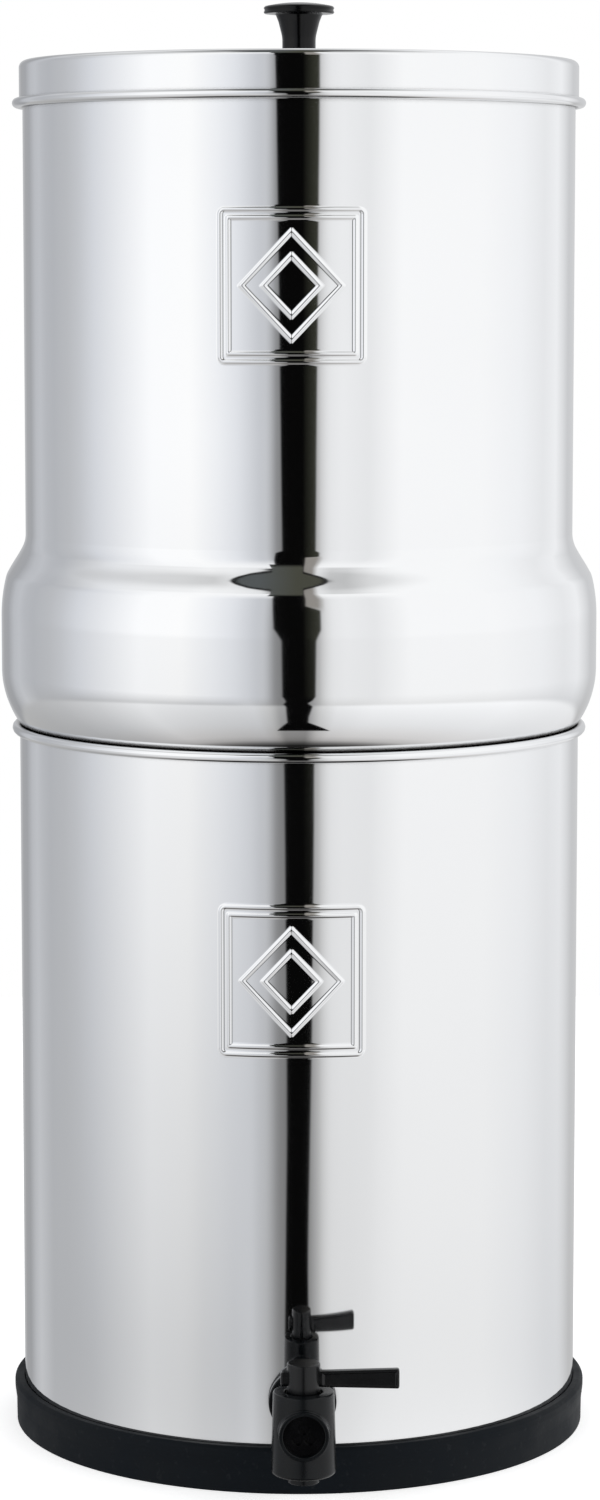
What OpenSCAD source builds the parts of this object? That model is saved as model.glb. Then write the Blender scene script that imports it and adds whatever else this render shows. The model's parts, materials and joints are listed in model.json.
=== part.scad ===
// Gravity water filter: a lower steel chamber with a quarter-turn tap, an upper chamber
// that rests on its rim and holds four ceramic candles, and a lid with a knob.
// The origin is on the vessels' axis at table level, +Z is up and the tap faces -Y.

/* [Lower chamber] */
// Outer diameter of the lower chamber's wall
lower_d = 207; // [190:0.5:240]
// Height of the lower chamber from its floor to the top of its rim
lower_h = 261; // [180:1:340]
// Thickness of the steel sheet of both chambers and the lid
sheet = 0.8; // [0.6:0.1:1]
// Outer radius of the bend between the wall and the floor
floor_bend = 8; // [4:0.5:14]
// Radius of the bead rolled outwards along the rim
rim_bead_r = 1.8; // [1.5:0.1:2.2]

/* [Upper chamber] */
// How far the shoulder, the widest part, stands out past the lower chamber's wall
shoulder_out = 6.5; // [5:0.1:9]
// How far the upper chamber's wall lies inside the line of the lower chamber's wall
wall_in = 2.6; // [1:0.1:8]
// Height of the upright band round the shoulder
band_h = 19.3; // [8:0.1:40]
// Height of the straight wall from the shoulder's top to the rim
upper_wall_h = 170.7; // [110:0.1:260]
// Depth from the lower chamber's rim to the underside of the upper chamber's floor
spigot_deep = 11.6; // [9:0.2:20]
// Radius of the arc that rests on the lower chamber's rim
seat_arc = 34.5; // [26:0.5:40]
// Radius of the broad arc above the band
crown_arc = 60; // [40:1:80]
// Angle that the broad arc turns through
crown_angle = 13.5; // [8:0.5:18]
// Steepest angle of the shoulder, from upright
slope_angle = 31; // [26:1:36]
// Radius of the tight bend below the slope
knuckle_arc = 8; // [5:0.5:12]
// Radius of the hollow where the shoulder meets the wall
hollow_arc = 12; // [6:0.5:14]
// Outer radius of the bend between the spigot and the floor
spigot_bend = 4; // [2:0.5:6]
// Radius of the hem rolled inwards along the upper rim
hem_r = 1.5; // [1.3:0.1:2]

/* [Embossed squares] */
// Width of a square
square_w = 50.8; // [40:0.5:60]
// Height of a square
square_h = 53.5; // [40:0.5:64]
// Height of the raised lines above the wall
relief = 0.5; // [0.4:0.1:1]
// Width of the raised lines
line_w = 1.3; // [1:0.1:2.2]
// Bare strip between the two lines of the border
border_gap = 1.5; // [1:0.1:2.5]
// Height of the lower square's centre above the floor of its chamber
lower_square_up = 180.5; // [120:1:200]
// Drop from the upper chamber's rim to the centre of its square
upper_square_drop = 79.5; // [50:1:110]
// Angle between the squares and the tap, seen from above
square_turn = 2.1; // [0:0.1:10]

/* [Base ring] */
// Height of the base ring
ring_h = 16.7; // [14:0.1:24]
// Thickness of the ring's upright wall
ring_wall = 3.7; // [2.5:0.1:6]
// Thickness of the ledge that the lower chamber stands on
ring_ledge = 3; // [2:0.1:5]
// Width of that ledge
ledge_w = 17; // [12:0.5:24]

/* [Lid] */
// Height of the lid from the foot of its bead to its plate
lid_h = 16.9; // [13:0.1:24]
// Radius of the bead rolled outwards along the skirt
lid_bead_r = 1.7; // [1.4:0.1:2.1]
// Outer radius of the bend between the plate and the skirt
lid_bend = 2.5; // [1.5:0.1:4]
// Radial gap between the skirt and the upper chamber's wall
skirt_gap = 0.4; // [0.3:0.05:0.8]
// Radius of the raised middle of the lid
plateau_r = 82; // [60:1:88]
// Height that the middle of the lid is raised by
plateau_rise = 0.8; // [0.4:0.1:1.2]

/* [Knob] */
// Diameter of the knob's head
knob_d = 25.8; // [22:0.2:34]
// Height of the knob
knob_h = 20.5; // [18:0.1:28]
// Diameter of the knob's waist
knob_neck_d = 12.2; // [11:0.2:14]
// Diameter of the knob's foot
knob_foot_d = 16; // [15:0.5:20]
// Thickness of the head's rim
knob_rim = 2.8; // [2:0.1:4]
// Height of the domed top above the head's rim
knob_dome = 1.4; // [1:0.1:2.4]
// Diameter of the screw that holds the knob
knob_screw_d = 4; // [3:0.5:5]

/* [Filter candles] */
// Number of candles
candles = 4; // [1:1:4]
// Diameter of a candle
candle_d = 50; // [40:1:56]
// Height of a candle's ceramic body
candle_h = 160; // [120:1:180]
// Distance from the vessel's axis to a candle's axis
candle_pitch = 55; // [50:1:62]
// Height of the base cup
cup_h = 14; // [10:0.5:20]
// Depth that the ceramic stands in its cup
cup_deep = 8; // [5:0.5:9]
// Thickness of the cup's wall
cup_wall = 1.6; // [1.2:0.1:2.4]
// Diameter of the stem
stem_d = 10; // [8:0.2:12]
// Length of the stem below the chamber's floor
stem_out = 26; // [20:1:34]
// Diameter of the sealing washer
seal_d = 30; // [24:1:36]
// Thickness of the sealing washer
seal_t = 2.5; // [1.5:0.1:4]
// Height of the wing nut's hub
wing_nut_h = 9; // [7:0.5:12]
// Span of the wing nut's wings
wing_span = 34; // [28:1:40]

/* [Tap body] */
// Height of the tap's inlet above the top of the base ring
tap_over_ring = 17.3; // [16:0.1:40]
// Distance from the vessel's wall to the upright axis of the tap
tap_reach = 36.8; // [32:0.2:50]
// Diameter of the barrel at its foot
barrel_d = 22.8; // [21:0.2:26]
// Diameter of the barrel at its top
barrel_top_d = 21.2; // [19.5:0.2:25]
// Height of the barrel above the inlet's axis
barrel_up = 13; // [11:0.5:16]
// Depth of the barrel below the inlet's axis
barrel_down = 15.9; // [14:0.1:18]
// Diameter of the nozzle
nozzle_d = 10.9; // [10:0.1:13]
// Length of the nozzle
nozzle_len = 3.2; // [3:0.1:12]
// Diameter of the waterway
waterway_d = 8; // [6:0.2:8.6]
// Diameter of the tap's flange and washers
flange_d = 24; // [23:0.5:30]
// Thickness of the flange
flange_t = 3; // [2:0.1:5]
// Thickness of each tap washer at its thinnest
tap_washer_t = 2.5; // [2:0.1:4]
// Diameter of the threaded shank
shank_d = 16; // [14:0.2:18]
// Radial gap between the shank and the hole in the wall
shank_gap = 0.3; // [0.2:0.05:0.6]
// Width of the nut across its flats
nut_w = 24; // [22:0.5:27]
// Thickness of the nut
nut_t = 7; // [5:0.5:10]
// Diameter of the round boss on the front of the barrel
boss_d = 17.4; // [16:0.2:19]
// Distance that the boss stands out past the barrel's widest point
boss_out = 0.6; // [0.4:0.1:2]
// Diameter of the recess in the boss
recess_d = 14.5; // [12:0.1:15]
// Thickness of the wall between the recess and the valve
recess_back = 1.6; // [1.2:0.1:2.4]
// Thickness of the end plug
end_plug_t = 2; // [1.5:0.1:2.4]

/* [Valve and lever] */
// Diameter of the barrel's valve bore
valve_d = 13.4; // [12:0.1:14.4]
// Radial running gap of the valve plug
run_gap = 0.05; // [0.03:0.01:0.1]
// Thickness of the cord of the O-rings
o_ring_t = 1.4; // [1:0.1:1.8]
// Diameter of the lever's hub
hub_d = 11.6; // [9.5:0.1:12]
// Height of the hub above the barrel
hub_h = 10; // [8:0.5:14]
// Length of the lever from the tap's axis
lever_len = 33; // [24:0.5:50]
// Length of the lever's tail behind the axis
lever_tail = 8; // [6.5:0.5:12]
// Height of the lever at its hub
lever_h = 4.9; // [4:0.1:6.4]
// Height of the lever at its end
lever_end_h = 7; // [5:0.1:9]
// Thickness of the lever
lever_t = 4; // [3:0.1:5]
// Width of the square drive between the lever and the plug
drive_w = 5; // [4:0.1:5.6]

/* [Hidden] */
$fn = 96;

steel_colour = "silver";
black_colour = "#1b1b1d";
rubber_colour = "#2b2a2a";
ceramic_colour = "ivory";
cup_colour = "#e4e6e8";

fit_gap = 0.05;                        // between pieces that are fastened together
seat_gap = 0.15;                       // between a vessel or the lid and what it rests on
eps = 0.01;
bead_lap = 0.2;                        // how far a wall runs on into its rolled bead
bead_bite = 0.03;                      // how far a rolled bead stands past its wall's far face

lower_r = lower_d / 2;
bulge_r = lower_r + shoulder_out;
upper_r = lower_r - wall_in;

// Lower chamber, from the ring's ledge up
lower_floor_z = ring_ledge;
lower_rim_z = lower_floor_z + lower_h;
rim_bead_z = lower_rim_z - rim_bead_r;
rim_bead_mid = lower_r - sheet - bead_bite + rim_bead_r;

// Upper chamber: the seat arc touches the lower rim's bead, and the rest is stacked on it
spigot_gap = 0.8;
spigot_r = lower_r - sheet - spigot_gap;
upper_floor_z = lower_rim_z - spigot_deep;
seat_mid = bulge_r - seat_arc;
seat_z = rim_bead_z + sqrt(pow(seat_arc + rim_bead_r + seat_gap, 2) - pow(rim_bead_mid - seat_mid, 2));
crown_z = seat_z + band_h;
knuckle_mid = [bulge_r - crown_arc, crown_z]
    + (crown_arc - knuckle_arc) * [cos(crown_angle), sin(crown_angle)];
slope_foot = knuckle_mid + knuckle_arc * [cos(slope_angle), sin(slope_angle)];
slope_len = (slope_foot.x - upper_r - hollow_arc * (1 - cos(slope_angle))) / sin(slope_angle);
hollow_z = slope_foot.y + slope_len * cos(slope_angle) + hollow_arc * sin(slope_angle);
upper_rim_z = hollow_z + upper_wall_h;

// Lid
lid_under_z = upper_rim_z + seat_gap;
lid_top_z = lid_under_z + sheet;
lid_r = upper_r + skirt_gap + sheet;
lid_bead_z = lid_top_z - lid_h + lid_bead_r;
plateau_z = lid_top_z + plateau_rise;
plateau_slope = 5;                     // width of the sloping step round the raised middle
screw_gap = 0.3;                       // between the screw and the holes that it passes
knob_washer_t = 1;
knob_washer_d = 3.4 * knob_screw_d;
screw_head_d = 1.9 * knob_screw_d;
screw_head_t = 0.6 * knob_screw_d;
screw_in_knob = knob_h / 2;

// Candles
candle_r = candle_d / 2;
cup_z = upper_floor_z + sheet + seal_t;
cup_r = candle_r + fit_gap + cup_wall;
candle_z = cup_z + cup_h - cup_deep;
wing_hub_d = 1.7 * stem_d;
wing_t = 3;

// Tap, in a frame whose origin is where the tap's upright axis meets the inlet's axis
tap_z = ring_h + tap_over_ring;
valve_r = valve_d / 2;
waterway_r = waterway_d / 2;
flange_y = tap_reach - tap_washer_t - flange_t;
washer_sag = lower_r - sqrt(pow(lower_r, 2) - pow(flange_d / 2, 2));
nut_y = tap_reach + sheet + tap_washer_t;
shank_len = nut_y + nut_t + 4 - flange_y;
neck_d = shank_d + 1;
boss_y = barrel_d / 2 + boss_out;
recess_y = valve_r + recess_back;
nozzle_z = -barrel_down - nozzle_len;
valve_floor_z = -waterway_r - 4.5;
plug_top_z = barrel_up - 3;
plug_r = valve_r - run_gap;
clip_t = 1;
clip_groove = 0.7;
clip_open = 50;                        // opening of the clip, in degrees
o_ring_zs = [valve_floor_z + o_ring_t / 2 + 1.4, plug_top_z - o_ring_t / 2 - 1.4];
o_ring_mid = valve_r - 0.02 - o_ring_t / 2;
drive_deep = 3.5;
lever_mid_z = barrel_up + hub_h / 2 - 0.5;
lever_rim = 1;
lever_panel = 0.5;

// Points along an arc, from angle a0 to a1, about 8 degrees apart
function arc(mid, r, a0, a1) =
    let (steps = max(2, ceil(abs(a1 - a0) / 8)))
    [for (i = [0:steps]) let (a = a0 + (a1 - a0) * i / steps) mid + r * [cos(a), sin(a)]];

function unit(v) = v / norm(v);

// The corner of an outline at b, between a and c, rounded to radius r
function corner(a, b, c, r) =
    r <= 0 ? [b] :
    let (
        to_a = unit(a - b),
        to_c = unit(c - b),
        half = acos(to_a * to_c) / 2,
        mid = b + unit(to_a + to_c) * r / sin(half),
        start = b + to_a * r / tan(half) - mid,
        end = b + to_c * r / tan(half) - mid,
        a0 = atan2(start.y, start.x),
        turn = (atan2(end.y, end.x) - a0 + 540) % 360 - 180
    )
    arc(mid, r, a0, a0 + turn);

// An outline whose points are [x, y, corner radius]
function rounded(p) = [
    for (i = [0:len(p) - 1])
        let (
            a = p[(i + len(p) - 1) % len(p)],
            b = p[i],
            c = p[(i + 1) % len(p)]
        )
        each corner([a.x, a.y], [b.x, b.y], [c.x, c.y], b.z)
];

function backwards(p) = [for (i = [len(p) - 1:-1:0]) p[i]];

// Section of a sheet edge rolled outwards about the origin, open where it comes back to the wall
module curl(r) {
    difference() {
        circle(r = r);
        circle(r = r - sheet);
        polygon([[0, 0], 2 * r * [cos(192), sin(192)], 2 * r * [cos(220), sin(220)],
            2 * r * [cos(248), sin(248)]]);
    }
}

module rounded_square(w, h, r) {
    square([w - 2 * r, h], center = true);
    square([w, h - 2 * r], center = true);
    for (x = [-1, 1], y = [-1, 1])
        translate([x * (w / 2 - r), y * (h / 2 - r)]) circle(r = r, $fn = 24);
}

// One raised line of the border, inset from the square's edge
module border_line(inset) {
    difference() {
        rounded_square(square_w - 2 * inset, square_h - 2 * inset, 2.4);
        rounded_square(square_w - 2 * inset - 2 * line_w, square_h - 2 * inset - 2 * line_w, 1.2);
    }
}

// A diamond outline whose half diagonals are a share of the square inside the border
module diamond_line(share) {
    x = share * (square_w / 2 - 2 * line_w - border_gap);
    y = share * (square_h / 2 - 2 * line_w - border_gap);
    thin = line_w * 1.45;
    difference() {
        polygon([[x, 0], [0, y], [-x, 0], [0, -y]]);
        polygon([[x - thin, 0], [0, y - thin], [-x + thin, 0], [0, -y + thin]]);
    }
}

// The raised square on a wall of radius r
module embossed_square(r, z) {
    rotate([0, 0, -square_turn]) translate([0, 0, z]) intersection() {
        difference() {
            cylinder(r = r + relief, h = square_h + 2, center = true);
            cylinder(r = r - sheet / 2, h = square_h + 4, center = true);
        }
        rotate([90, 0, 0]) linear_extrude(r + 2 * relief) {
            border_line(0);
            border_line(line_w + border_gap);
            diamond_line(0.86);
            diamond_line(0.5);
        }
    }
}

module base_ring() {
    seat_r = lower_r + fit_gap;
    outer_r = seat_r + ring_wall;
    color(rubber_colour) rotate_extrude() polygon(rounded([
        [seat_r - ledge_w, 0, 0],
        [outer_r - 0.7, 0, 0.5],
        [outer_r - 0.6, 0.5 * ring_h, 8],
        [outer_r, ring_h - 3.6, 5],
        [outer_r, ring_h - 1.2, 1],
        [outer_r - 1.2, ring_h, 0.8],
        [seat_r, ring_h, 0.4],
        [seat_r, ring_ledge, 0],
        [seat_r - ledge_w, ring_ledge, 0.6]
    ]));
}

module lower_chamber() {
    color(steel_colour) difference() {
        union() {
            rotate_extrude() {
                polygon(rounded([
                    [0, lower_floor_z, 0],
                    [lower_r, lower_floor_z, floor_bend],
                    [lower_r, rim_bead_z + bead_lap, 0],
                    [lower_r - sheet, rim_bead_z + bead_lap, 0],
                    [lower_r - sheet, lower_floor_z + sheet, floor_bend - sheet],
                    [0, lower_floor_z + sheet, 0]
                ]));
                translate([rim_bead_mid, rim_bead_z]) curl(rim_bead_r);
            }
            embossed_square(lower_r, lower_floor_z + lower_square_up);
        }
        at_tap() rotate([-90, 0, 0]) cylinder(d = shank_d + 2 * shank_gap, h = tap_reach + 20);
    }
}

// Outer face of the upper chamber, from the middle of its floor to its rim, moved in by t
function upper_face(t) = concat(
    [[0, upper_floor_z + t]],
    arc([spigot_r - spigot_bend, upper_floor_z + spigot_bend], spigot_bend - t, -90, 0),
    arc([seat_mid, seat_z], seat_arc - t, -acos((spigot_r - t - seat_mid) / (seat_arc - t)), 0),
    arc([bulge_r - crown_arc, crown_z], crown_arc - t, 0, crown_angle),
    arc(knuckle_mid, knuckle_arc - t, crown_angle, slope_angle),
    arc([upper_r + hollow_arc, hollow_z], hollow_arc + t, 180 + slope_angle, 180),
    [[upper_r - t, upper_rim_z - hem_r + bead_lap]]
);

module upper_chamber() {
    color(steel_colour) difference() {
        union() {
            rotate_extrude() {
                polygon(concat(upper_face(0), backwards(upper_face(sheet))));
                translate([upper_r + bead_bite - hem_r, upper_rim_z - hem_r]) mirror([1, 0]) curl(hem_r);
            }
            embossed_square(upper_r, upper_rim_z - upper_square_drop);
        }
        for (i = [0:candles - 1])
            at_candle(i) translate([0, 0, upper_floor_z - 1])
                cylinder(d = stem_d + 2 * screw_gap, h = sheet + 2);
    }
}

module lid() {
    hole_r = knob_screw_d / 2 + screw_gap;
    color(steel_colour) union() {
        rotate_extrude() polygon(rounded([
            [hole_r, plateau_z, 0],
            [plateau_r, plateau_z, 6],
            [plateau_r + plateau_slope, lid_top_z, 6],
            [lid_r, lid_top_z, lid_bend],
            [lid_r, lid_bead_z - bead_lap, 0],
            [lid_r - sheet, lid_bead_z - bead_lap, 0],
            [lid_r - sheet, lid_under_z, lid_bend - sheet],
            [plateau_r + plateau_slope, lid_under_z, 6],
            [plateau_r, plateau_z - sheet, 6],
            [hole_r, plateau_z - sheet, 0]
        ]));
        translate([0, 0, lid_bead_z]) rotate_extrude()
            translate([lid_r - sheet - bead_bite + lid_bead_r, 0]) mirror([0, 1]) curl(lid_bead_r);
    }
}

module lid_knob() {
    head_r = knob_d / 2;
    neck_r = knob_neck_d / 2;
    edge_z = knob_h - knob_dome;
    under_z = edge_z - knob_rim;
    dome_base = head_r - 0.5;
    dome_r = (pow(dome_base, 2) + pow(knob_dome, 2)) / (2 * knob_dome);
    outline = rounded([
        [0, 0, 0],
        [knob_foot_d / 2, 0, 0.8],
        [knob_foot_d / 2 - 0.4, 1.6, 0.6],
        [neck_r, 3.6, 2],
        [neck_r, 0.49 * under_z, 12],
        [neck_r + 1.4, 0.83 * under_z, 6],
        [neck_r + 2.5, under_z, 1],
        [head_r - 0.4, under_z + 0.1, 0.3],
        [head_r, under_z + 0.6, 0.2],
        [head_r - 0.4, (under_z + edge_z) / 2, 0.8],
        [head_r, edge_z - 0.6, 0.2],
        [dome_base, edge_z, 0]
    ]);
    dome = arc([0, knob_h - dome_r], dome_r, acos(dome_base / dome_r), 90);
    color(black_colour) translate([0, 0, plateau_z]) difference() {
        rotate_extrude() polygon(concat(outline, [for (i = [1:len(dome) - 1]) dome[i]]));
        translate([0, 0, -1]) cylinder(d = knob_screw_d, h = screw_in_knob + 1.5);
    }
}

module knob_washer() {
    color(steel_colour) translate([0, 0, plateau_z - sheet - knob_washer_t]) difference() {
        cylinder(d = knob_washer_d, h = knob_washer_t);
        translate([0, 0, -1]) cylinder(r = knob_screw_d / 2 + screw_gap, h = knob_washer_t + 2);
    }
}

module knob_screw() {
    head_z = plateau_z - sheet - knob_washer_t;
    color(steel_colour) translate([0, 0, head_z]) difference() {
        union() {
            translate([0, 0, -screw_head_t])
                cylinder(d1 = 0.8 * screw_head_d, d2 = screw_head_d, h = screw_head_t);
            translate([0, 0, -eps])
                cylinder(d = knob_screw_d - 2 * fit_gap, h = knob_washer_t + sheet + screw_in_knob);
        }
        for (a = [0, 90])
            rotate([0, 0, a]) translate([0, 0, -screw_head_t])
                cube([0.6 * screw_head_d, 0.8, screw_head_t], center = true);
    }
}

module at_candle(i) {
    rotate([0, 0, 45 + 360 / candles * i]) translate([candle_pitch, 0, 0]) children();
}

module candle(i) {
    color(ceramic_colour) at_candle(i) translate([0, 0, candle_z]) rotate_extrude() intersection() {
        union() {
            square([candle_r, candle_h - candle_r]);
            translate([0, candle_h - candle_r]) circle(r = candle_r);
        }
        square([candle_r, candle_h]);
    }
}

module candle_cup(i) {
    color(cup_colour) at_candle(i) {
        translate([0, 0, cup_z]) difference() {
            rotate_extrude() polygon(rounded([
                [0, 0, 0],
                [cup_r - 6, 0, 1],
                [cup_r, cup_h - cup_deep, 3],
                [cup_r, cup_h, 0.5],
                [0, cup_h, 0]
            ]));
            translate([0, 0, cup_h - cup_deep]) cylinder(r = candle_r + fit_gap, h = cup_deep + 1);
        }
        translate([0, 0, upper_floor_z - stem_out])
            cylinder(d = stem_d, h = stem_out + sheet + seal_t + eps);
    }
}

module candle_seal(i) {
    color(rubber_colour) at_candle(i) translate([0, 0, upper_floor_z + sheet]) difference() {
        cylinder(d = seal_d, h = seal_t);
        translate([0, 0, -1]) cylinder(d = stem_d + 2 * screw_gap, h = seal_t + 2);
    }
}

module wing_nut(i) {
    wing_w = (wing_span - wing_hub_d) / 2;
    color(cup_colour) at_candle(i) translate([0, 0, upper_floor_z - wing_nut_h]) difference() {
        union() {
            cylinder(d1 = wing_hub_d - 1.5, d2 = wing_hub_d, h = wing_nut_h);
            for (side = [0, 180])
                rotate([90, 0, side]) translate([0, 0, -wing_t / 2]) linear_extrude(wing_t)
                    polygon(rounded([
                        [stem_d / 2 + 1, 1, 0],
                        [stem_d / 2 + 1, wing_nut_h - 1, 0],
                        [wing_hub_d / 2 + 0.3 * wing_w, wing_nut_h - 1, 1.5],
                        [wing_span / 2, wing_nut_h - 2.5, 1.6],
                        [wing_span / 2 - 1, -3, 2],
                        [wing_hub_d / 2 + 0.3 * wing_w, -3, 2]
                    ]));
        }
        translate([0, 0, -5]) cylinder(d = stem_d + 2 * fit_gap, h = wing_nut_h + 6);
    }
}

module at_tap() {
    translate([0, -lower_r - tap_reach, tap_z]) children();
}

module tap_body() {
    color(black_colour) at_tap() difference() {
        union() {
            rotate_extrude() polygon(rounded([
                [0, -barrel_down, 0],
                [barrel_d / 2, -barrel_down, 1.5],
                [barrel_top_d / 2, barrel_up, 0.6],
                [0, barrel_up, 0]
            ]));
            translate([0, 0, nozzle_z]) cylinder(d = nozzle_d, h = nozzle_len + 1);
            rotate([-90, 0, 0]) cylinder(d = neck_d, h = flange_y + 1);
            translate([0, flange_y, 0]) rotate([-90, 0, 0]) {
                cylinder(d = flange_d, h = flange_t);
                cylinder(d = shank_d, h = shank_len);
            }
            rotate([90, 0, 0]) cylinder(d = boss_d, h = boss_y);
        }
        translate([0, 0, valve_floor_z]) cylinder(r = valve_r, h = barrel_up - valve_floor_z + 1);
        translate([0, 0, nozzle_z - 1]) cylinder(r = waterway_r, h = valve_floor_z - nozzle_z + 2);
        rotate([-90, 0, 0]) cylinder(r = waterway_r, h = flange_y + shank_len + 1);
        translate([0, 0, plug_top_z + 0.2])
            cylinder(r = valve_r + clip_groove, h = clip_t + 2 * fit_gap);
        translate([0, -recess_y, 0]) rotate([90, 0, 0]) cylinder(d = recess_d, h = boss_y);
    }
}

module tap_end_plug() {
    color(black_colour) at_tap() translate([0, -recess_y, 0]) rotate([90, 0, 0]) difference() {
        cylinder(d = recess_d - 2 * fit_gap, h = end_plug_t);
        translate([0, 0, end_plug_t - 1.2]) linear_extrude(2)
            for (a = [90, 210, 330])
                rotate(a) translate([0.17 * recess_d, 0]) circle(d = 0.3 * recess_d, $fn = 32);
    }
}

module tap_washer_outer() {
    color(rubber_colour) difference() {
        at_tap() translate([0, tap_reach - tap_washer_t, 0]) rotate([-90, 0, 0]) difference() {
            cylinder(d = flange_d, h = tap_washer_t + washer_sag);
            translate([0, 0, -1])
                cylinder(d = shank_d + 2 * shank_gap, h = tap_washer_t + washer_sag + 2);
        }
        cylinder(r = lower_r + fit_gap, h = tap_z + flange_d, $fn = 480);
    }
}

module tap_washer_inner() {
    color(rubber_colour) intersection() {
        at_tap() translate([0, tap_reach, 0]) rotate([-90, 0, 0]) difference() {
            cylinder(d = flange_d, h = sheet + tap_washer_t);
            translate([0, 0, -1])
                cylinder(d = shank_d + 2 * shank_gap, h = sheet + tap_washer_t + 2);
        }
        cylinder(r = lower_r - sheet - fit_gap, h = tap_z + flange_d, $fn = 480);
    }
}

module tap_nut() {
    color(black_colour) at_tap() translate([0, nut_y, 0]) rotate([-90, 0, 0]) difference() {
        cylinder(d = nut_w / cos(30), h = nut_t, $fn = 6);
        translate([0, 0, -1]) cylinder(d = shank_d + 2 * fit_gap, h = nut_t + 2);
    }
}

module valve_clip() {
    inner_r = hub_d / 2 + 0.2;
    outer_r = valve_r + clip_groove - fit_gap;
    color(steel_colour) at_tap() translate([0, 0, plug_top_z + 0.2 + fit_gap]) difference() {
        cylinder(r = outer_r, h = clip_t);
        translate([0, 0, -1]) cylinder(r = inner_r, h = clip_t + 2);
        translate([0, 0, -1]) linear_extrude(clip_t + 2) polygon([
            [0, 0],
            2 * outer_r * [cos(90 - clip_open / 2), sin(90 - clip_open / 2)],
            2 * outer_r * [cos(90 + clip_open / 2), sin(90 + clip_open / 2)]
        ]);
    }
}

module valve_plug() {
    foot_z = valve_floor_z + run_gap;
    color(cup_colour) at_tap() difference() {
        translate([0, 0, foot_z]) cylinder(r = plug_r, h = plug_top_z - foot_z);
        translate([0, 0, foot_z - 1]) cylinder(r = waterway_r, h = 1 - foot_z + eps);
        rotate([0, -90, 0]) cylinder(r = waterway_r - 0.2, h = plug_r + 1);
        translate([0, 0, plug_top_z - drive_deep / 2])
            cube([drive_w + 2 * fit_gap, drive_w + 2 * fit_gap, drive_deep + 2 * eps], center = true);
        for (z = o_ring_zs)
            rotate_extrude() translate([o_ring_mid - o_ring_t / 2 - fit_gap, z - o_ring_t / 2 - fit_gap])
                square(o_ring_t + 2 * fit_gap);
    }
}

module valve_o_rings() {
    color(rubber_colour) at_tap() for (z = o_ring_zs)
        rotate_extrude() translate([o_ring_mid, z]) circle(d = o_ring_t, $fn = 32);
}

// Side of the lever, drawn in by inset all round
module lever_side(inset) {
    polygon(rounded([
        [-lever_tail + inset, -lever_h / 2 + inset, 0.8],
        [lever_len - inset, -lever_end_h / 2 + inset, 1.8],
        [lever_len - inset, lever_end_h / 2 - inset, 1.8],
        [-lever_tail + inset, lever_h / 2 - inset, 0.8]
    ]));
}

module tap_lever() {
    hub_z = plug_top_z + fit_gap;
    color(black_colour) at_tap() {
        translate([0, 0, hub_z]) cylinder(d = hub_d, h = barrel_up + hub_h - hub_z);
        translate([-drive_w / 2, -drive_w / 2, plug_top_z - drive_deep + fit_gap])
            cube([drive_w, drive_w, drive_deep + eps]);
        translate([0, 0, lever_mid_z]) rotate([90, 0, 0]) difference() {
            translate([0, 0, -lever_t / 2]) linear_extrude(lever_t) lever_side(0);
            for (side = [-1, 1])
                translate([0, 0, side * lever_t / 2]) intersection() {
                    translate([0, 0, -lever_panel]) linear_extrude(2 * lever_panel) lever_side(lever_rim);
                    translate([hub_d / 2, -lever_end_h, -2]) cube([lever_len, 2 * lever_end_h, 4]);
                }
        }
    }
}

base_ring();
lower_chamber();
tap_body();
tap_end_plug();
tap_washer_outer();
tap_washer_inner();
tap_nut();
valve_clip();
valve_plug();
valve_o_rings();
tap_lever();
upper_chamber();
lid();
lid_knob();
knob_washer();
knob_screw();
for (i = [0:candles - 1]) {
    candle(i);
    candle_cup(i);
    candle_seal(i);
    wing_nut(i);
}
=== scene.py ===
"""Gravity water filter with tap, dressed for a studio picture.

Every length below is in metres in the frame of the CAD model: the origin is on the vessels'
axis at table level, Z is up and the tap faces -Y. Angles round the axis start at -Y and grow
towards +X, so a point at angle a and radius r lies at (r sin a, -r cos a).
"""
import json
import math

import bpy
import numpy as np
from bpy.props import FloatProperty, FloatVectorProperty, PointerProperty
from bpy.types import Operator, Panel, PropertyGroup
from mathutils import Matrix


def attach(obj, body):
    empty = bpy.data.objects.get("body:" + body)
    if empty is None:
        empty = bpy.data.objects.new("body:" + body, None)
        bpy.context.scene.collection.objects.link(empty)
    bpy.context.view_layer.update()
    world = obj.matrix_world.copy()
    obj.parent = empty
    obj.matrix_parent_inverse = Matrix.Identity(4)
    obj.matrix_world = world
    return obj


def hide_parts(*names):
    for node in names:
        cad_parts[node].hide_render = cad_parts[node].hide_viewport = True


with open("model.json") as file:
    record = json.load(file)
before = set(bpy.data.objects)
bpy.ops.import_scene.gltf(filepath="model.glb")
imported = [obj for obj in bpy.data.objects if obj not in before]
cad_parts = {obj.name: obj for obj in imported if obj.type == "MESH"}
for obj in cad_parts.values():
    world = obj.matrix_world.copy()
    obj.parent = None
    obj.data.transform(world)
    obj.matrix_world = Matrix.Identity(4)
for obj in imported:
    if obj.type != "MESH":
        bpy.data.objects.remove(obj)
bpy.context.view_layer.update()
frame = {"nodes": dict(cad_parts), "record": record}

bl_info = {
    "name": "Gravity water filter",
    "version": (1, 0, 0),
    "blender": (4, 5, 0),
    "location": "3D View > Sidebar > Water filter",
    "description": "Builds the visible pieces of a two-chamber water filter over its CAD model",
    "category": "Add Mesh",
}


# Properties

def length(name, description, millimetres):
    """A length, given in millimetres and held in metres."""
    return FloatProperty(name=name, description=description, default=millimetres / 1000,
                         min=0.0, unit="LENGTH", subtype="DISTANCE", precision=5)


def angle(name, description, degrees):
    """An angle, given in degrees and held in radians."""
    return FloatProperty(name=name, description=description, default=math.radians(degrees),
                         unit="ROTATION", subtype="ANGLE")


def share(name, description, value):
    """A share from 0 to 1."""
    return FloatProperty(name=name, description=description, default=value,
                         min=0.0, max=1.0, subtype="FACTOR")


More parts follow.
